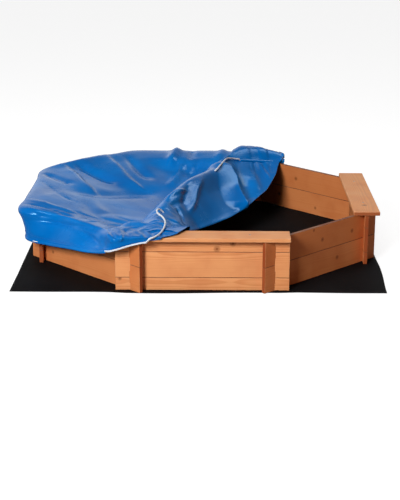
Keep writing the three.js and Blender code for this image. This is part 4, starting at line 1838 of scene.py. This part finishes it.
    def folded(self, points: np.ndarray, flat: np.ndarray) -> tuple[np.ndarray, np.ndarray]:
        """Presses every fold and crumple into the sheet.

        Args:
            points: The sheet's points.
            flat: Their places on the cloth laid flat.

        Returns:
            The moved points, and how sharply creased each of them is.
        """
        rows = np.arange(points.shape[1])
        edge = sum(self.row_steps[: self.edge_row])
        over = np.clip((rows - edge) / 3, 0, 1)[None, :]
        under = np.clip((edge - rows) / 3, 0, 1)[None, :]
        lift = np.zeros(points.shape[:-1])
        crease = np.zeros(points.shape[:-1])
        for fold in self.folds():
            moved, mask = fold.press(points)
            share = over * -1.0 if fold.layer is Layer.OVER else under
            lift += moved * share
            crease = np.maximum(crease, mask * np.abs(share))
        for order, crumple in enumerate(self.crumples()):
            lift += crumple.press(points, flat, SEED * 10 + order)
        hem = np.clip(rows / 4, 0.25, 1)[None, :] * np.clip((rows[-1] - rows) / 4, 0.25, 1)[None, :]
        return points + self.normals(points) * (lift * hem)[..., None], crease

    def cleared(self, points: np.ndarray) -> np.ndarray:
        """Keeps the part over the walls just clear of the seats and the board ends.

        Args:
            points: The sheet's points.

        Returns:
            The moved points.
        """
        edge = sum(self.row_steps[: self.edge_row])
        result = points.copy()
        gap = self.clear_gap
        for wall in (0, 2, 4, 6):
            part = result[:, :edge]
            along, out = from_wall(part, wall)
            over = (np.abs(along) < self.half_board + gap) & (out > self.seat_in - gap)
            over &= (out < self.seat_out + gap) & (part[..., 2] > self.seat_top - self.seat_reach)
            part[..., 2] = np.where(over, np.maximum(part[..., 2], self.seat_top + gap), part[..., 2])
        return result

    def build(self) -> list[bpy.types.Object]:
        """Builds the sheet, its hem channel with the stitches, and the drawstring.

        Returns:
            The new pieces.
        """
        points = self.surface()
        flat = self.laid_flat(points)
        points, crease = self.folded(points, flat)
        points = self.cleared(points)
        count, depth = points.shape[:2]
        LOG.info("cover grid %d x %d", count, depth)
        mesh = grid_mesh("cover_cloth", points.reshape(-1, 3), count, depth, flip=True)
        write_flat(mesh, flat.reshape(-1, 2))
        store_numbers(mesh, "crease", crease)
        piece = new_object("cover_cloth", mesh)
        mesh.materials.append(self.finish.material())
        mesh.shade_smooth()
        thicken(piece, self.thickness, -1.0)
        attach(piece, "cover")
        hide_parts("cover_sheet", "cover_folded_part")
        hem = Hem(self.finish)
        channels = hem.build(points, self.normals(points))
        drawstring = Drawstring().build(hem)
        area = sum(p.area for p in piece.data.polygons) / 2
        LOG.info("cover area %.2f m2, drawstring %.2f m", area, hem.length)
        return [piece, *channels, drawstring]


@dataclass
class Hem:
    """The channel that the drawstring runs in, in two stretches, with a line of stitches along it.

    The channel leaves the drawstring bare at the front, where the cover is turned back, and where the
    turned-back hem passes over the ridge.
    """

    finish: CoatedFabric
    thread: SewingThread = field(default_factory=SewingThread)
    size: tuple[float, float] = (15 * MM, 9 * MM)
    stitch_spacing: float = 8 * MM
    stitch_length: float = 5.5 * MM
    thread_radius: float = 0.7 * MM
    bare_front: int = 44
    bare_behind: tuple[float, float, float] = (0.085, 0.545, 0.73)
    path: list[np.ndarray] = field(default_factory=list)
    length: float = 0.0
    over_ridge: tuple[Place, ...] = (
        (-0.005, 0.205, 0.200),
        (0.030, 0.190, 0.240),
        (0.055, 0.205, 0.262),
        (0.080, 0.300, 0.268),
        (0.098, 0.375, 0.268),
        (0.115, 0.410, 0.262),
        (0.135, 0.437, 0.254),
        (0.155, 0.452, 0.248),
    )
    front_loop: tuple[Place, ...] = (
        (-0.150, -0.390, 0.222),
        (-0.160, -0.393, 0.238),
        (-0.171, -0.402, 0.247),
        (-0.178, -0.428, 0.248),
        (-0.173, -0.460, 0.246),
        (-0.158, -0.485, 0.243),
        (-0.143, -0.530, 0.236),
        (-0.142, -0.585, 0.232),
        (-0.150, -0.645, 0.229),
        (-0.160, -0.682, 0.228),
        (-0.174, -0.708, 0.226),
        (-0.192, -0.721, 0.222),
    )

    def build(self, points: np.ndarray, normals: np.ndarray) -> list[bpy.types.Object]:
        """Builds the channels and the stitches along them.

        Args:
            points: The finished sheet's points, columns by rows.
            normals: Its normals.

        Returns:
            The channels and the stitches.
        """
        count = len(points)
        hem, hem_out = points[:, 0], normals[:, 0]
        back, back_out = points[:, -1], -normals[:, -1]
        first, second, third = (round(share * (count - 1)) for share in self.bare_behind)
        outer = np.concatenate([hem[self.bare_front :: 3], points[-1, 4:-4:4], back[: third : -3]])
        outer_out = [hem_out[self.bare_front :: 3], normals[-1, 4:-4:4], back_out[: third : -3]]
        inner = back[second : first : -3]
        inner_out = back_out[second : first : -3]
        pieces = [
            self.channel("cover_hem", outer, np.concatenate(outer_out)),
            self.channel("cover_turned_hem", inner, inner_out),
        ]
        bare = hem[self.bare_front :: -4] - np.array((0.0, 4.0, 2.0)) * MM
        self.path = [*self.front_loop, *bare[::-1][3:-1], *outer[::3], *self.over_ridge[::-1], *inner[::3]]
        self.path.append((-0.205, -0.345, 0.200))
        seams = [points[self.bare_front :, 3], points[third:, -4][::-1], points[first:second, -4][::-1]]
        outs = [normals[self.bare_front :, 3], -normals[third:, -4][::-1], -normals[first:second, -4][::-1]]
        pieces.append(self.stitches(seams, outs))
        return pieces

    def channel(self, name: str, path: np.ndarray, outward: np.ndarray) -> bpy.types.Object:
        """One stretch of the channel, flattened against the cloth.

        Args:
            name: The piece's name.
            path: Its middle line.
            outward: The cloth's normals there.

        Returns:
            The new piece.
        """
        smooth = smooth_path(path, [2] * (len(path) - 1))
        smooth_out = smooth_path(outward, [2] * (len(path) - 1))
        piece = new_object(name, sweep(name, smooth, smooth_out, self.size, 14, (0.04, 1.0)))
        mesh = piece.data
        mesh.attributes.new("crease", "FLOAT", "POINT")
        mesh.materials.append(self.finish.material())
        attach(piece, "cover")
        return piece

    def stitches(self, seams: Sequence[np.ndarray], outs: Sequence[np.ndarray]) -> bpy.types.Object:
        """The stitches of every stretch, as one piece that lies on the cloth's outside.

        Args:
            seams: The line of each stretch.
            outs: The cloth's normals along each.

        Returns:
            The new piece.
        """
        points, edges = [], []
        for seam, out in zip(seams, outs):
            start = len(points)
            points.extend(Vector(p) for p in seam + out * 0.6 * MM)
            edges.extend((i, i + 1) for i in range(start, len(points) - 1))
        values = {
            "Spacing": self.stitch_spacing,
            "Stitch Length": self.stitch_length,
            "Thread Radius": self.thread_radius,
            "Finish": self.thread.material(),
        }
        piece = grow(points, "cover_stitches", StitchTree().tree, values, edges)
        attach(piece, "cover")
        return piece


@dataclass
class Drawstring:
    """The cord that runs through the hem and shows where the hem leaves it bare."""

    finish: BraidedCord = field(default_factory=BraidedCord)
    diameter: float = 7 * MM
    step: float = 7 * MM
    strands: int = 8
    braid: float = 5 * MM

    def build(self, hem: Hem) -> bpy.types.Object:
        """Builds the cord along the hem's path.

        Args:
            hem: The hem, which gets the cord's length.

        Returns:
            The new piece.
        """
        path = even_path(hem.path, self.step)
        hem.length = float(np.linalg.norm(np.diff(path, axis=0), axis=1).sum())
        outward = self.carried(path)
        size = (self.diameter, self.diameter)
        mesh = sweep("drawstring", path, outward, size, 12, (self.strands, self.braid))
        mesh.materials.append(self.finish.material())
        piece = new_object("drawstring_cord", mesh)
        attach(piece, "cover")
        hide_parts("cover_drawstring")
        return piece

    @staticmethod
    def carried(path: np.ndarray) -> np.ndarray:
        """A direction across the path at each point, carried along it without a twist.

        Args:
            path: The cord's middle line.

        Returns:
            The directions.
        """
        tangent = np.gradient(path, axis=0)
        tangent /= np.linalg.norm(tangent, axis=1, keepdims=True)
        side = np.cross(tangent[0], (0.3, 0.2, 1.0))
        result = []
        for t in tangent:
            side = side - t * (side @ t)
            side = side / np.linalg.norm(side)
            result.append(side)
        return np.array(result)


@dataclass
class Studio:
    """The floor, the lights and the camera."""

    floor_size: float = 60.0
    lens: float = 91.32
    place: Place = (0.0389, -5.1452, 1.5512)
    pitch: float = 0.30036
    yaw: float = -0.01064
    roll: float = 0.00184
    horizon: float = 1.0
    zenith: float = 0.12
    front_share: float = 0.12
    right_share: float = 0.12

    def build(self) -> None:
        """Makes the floor, the lights and the camera."""
        self.floor()
        self.lights()
        self.camera()

    def floor(self) -> None:
        """A wide plain floor under the object."""
        half = self.floor_size / 2
        corners = np.array([(-half, -half, 0), (-half, half, 0), (half, -half, 0), (half, half, 0)], float)
        corners[:, 2] = CAD_BOX[0].z - 0.5 * MM
        mesh = grid_mesh("floor", corners, 2, 2, flip=True)
        mesh.materials.append(PaleFloor().material())
        new_object("floor", mesh)

    def lights(self) -> None:
        """Key, top and fill lights, one that shows only in reflections, and a white surround."""
        world = bpy.data.worlds.new("surround")
        bpy.context.scene.world = world
        world.use_nodes = True
        graph = Graph(world.node_tree)
        side, depth, height = graph.split(graph.add("ShaderNodeTexCoord").outputs["Generated"])
        glow = graph.remap(height, 0.12, 0.62, self.horizon, self.zenith)
        glow = graph.times(glow, graph.remap(depth, -0.5, 0.5, self.front_share, 1.0))
        glow = graph.times(glow, graph.remap(side, 0.1, 0.6, 1.0, self.right_share))
        seen = graph.add("ShaderNodeLightPath").outputs["Is Camera Ray"]
        graph.feed(world.node_tree.nodes["Background"].inputs["Strength"], graph.math("MAXIMUM", glow, seen))
        world.node_tree.nodes["Background"].inputs["Color"].default_value = (1.0, 1.0, 1.0, 1.0)
        self.area("key_light", (-2.1, -4.9, 2.7), 1.4, 304.0)
        self.area("top_light", (-0.4, 0.2, 4.2), 2.6, 66.0).visible_glossy = False
        self.area("sheen_light", (2.0, 1.7, 2.8), 1.5, 36.0).visible_diffuse = False
        self.area("warm_fill", (3.6, -2.6, 1.0), 2.2, 16.0, (1.0, 0.52, 0.34)).visible_glossy = False

    @staticmethod
    def area(
        name: str, place: Place, size: float, power: float, colour: Colour = (1.0, 1.0, 1.0)
    ) -> bpy.types.Object:
        """Adds a square light that faces the object.

        Args:
            name: The light's name.
            place: Where it stands.
            size: Its width, in metres.
            power: Its power, in watts.
            colour: Its colour.

        Returns:
            The light.
        """
        data = bpy.data.lights.new(name, "AREA")
        data.size = size
        data.energy = power
        data.color = colour
        light = bpy.data.objects.new(name, data)
        light.location = place
        light.rotation_euler = (Vector((0, 0, 0.1)) - Vector(place)).to_track_quat("-Z", "Y").to_euler()
        bpy.context.scene.collection.objects.link(light)
        return light

    def camera(self) -> None:
        """The camera, low in front of the object and a little above it."""
        data = bpy.data.cameras.new("camera")
        data.lens = self.lens
        data.sensor_width = 36.0
        data.clip_end = 200.0
        camera = bpy.data.objects.new("camera", data)
        camera.location = self.place
        level = math.cos(self.pitch)
        ahead = Vector((math.sin(self.yaw) * level, math.cos(self.yaw) * level, -math.sin(self.pitch)))
        turn = ahead.to_track_quat("-Z", "Y").to_matrix() @ Matrix.Rotation(self.roll, 3, "Z")
        camera.rotation_euler = turn.to_euler()
        bpy.context.scene.collection.objects.link(camera)
        bpy.context.scene.camera = camera
        bpy.context.scene.view_settings.view_transform = "Standard"


def main() -> None:
    """Builds the sandbox and its studio, and reports each piece."""
    logging.basicConfig(level=logging.INFO, format="%(message)s")
    Studio().build()
    pieces = Timber().build()
    pieces.append(SeatScrews().build())
    pieces.append(GroundSheet().build())
    pieces.extend(Cover().build())
    for piece in pieces:
        LOG.info("%s: %d faces", piece.name, len(piece.data.polygons))


if __name__ == "__main__":
    main()
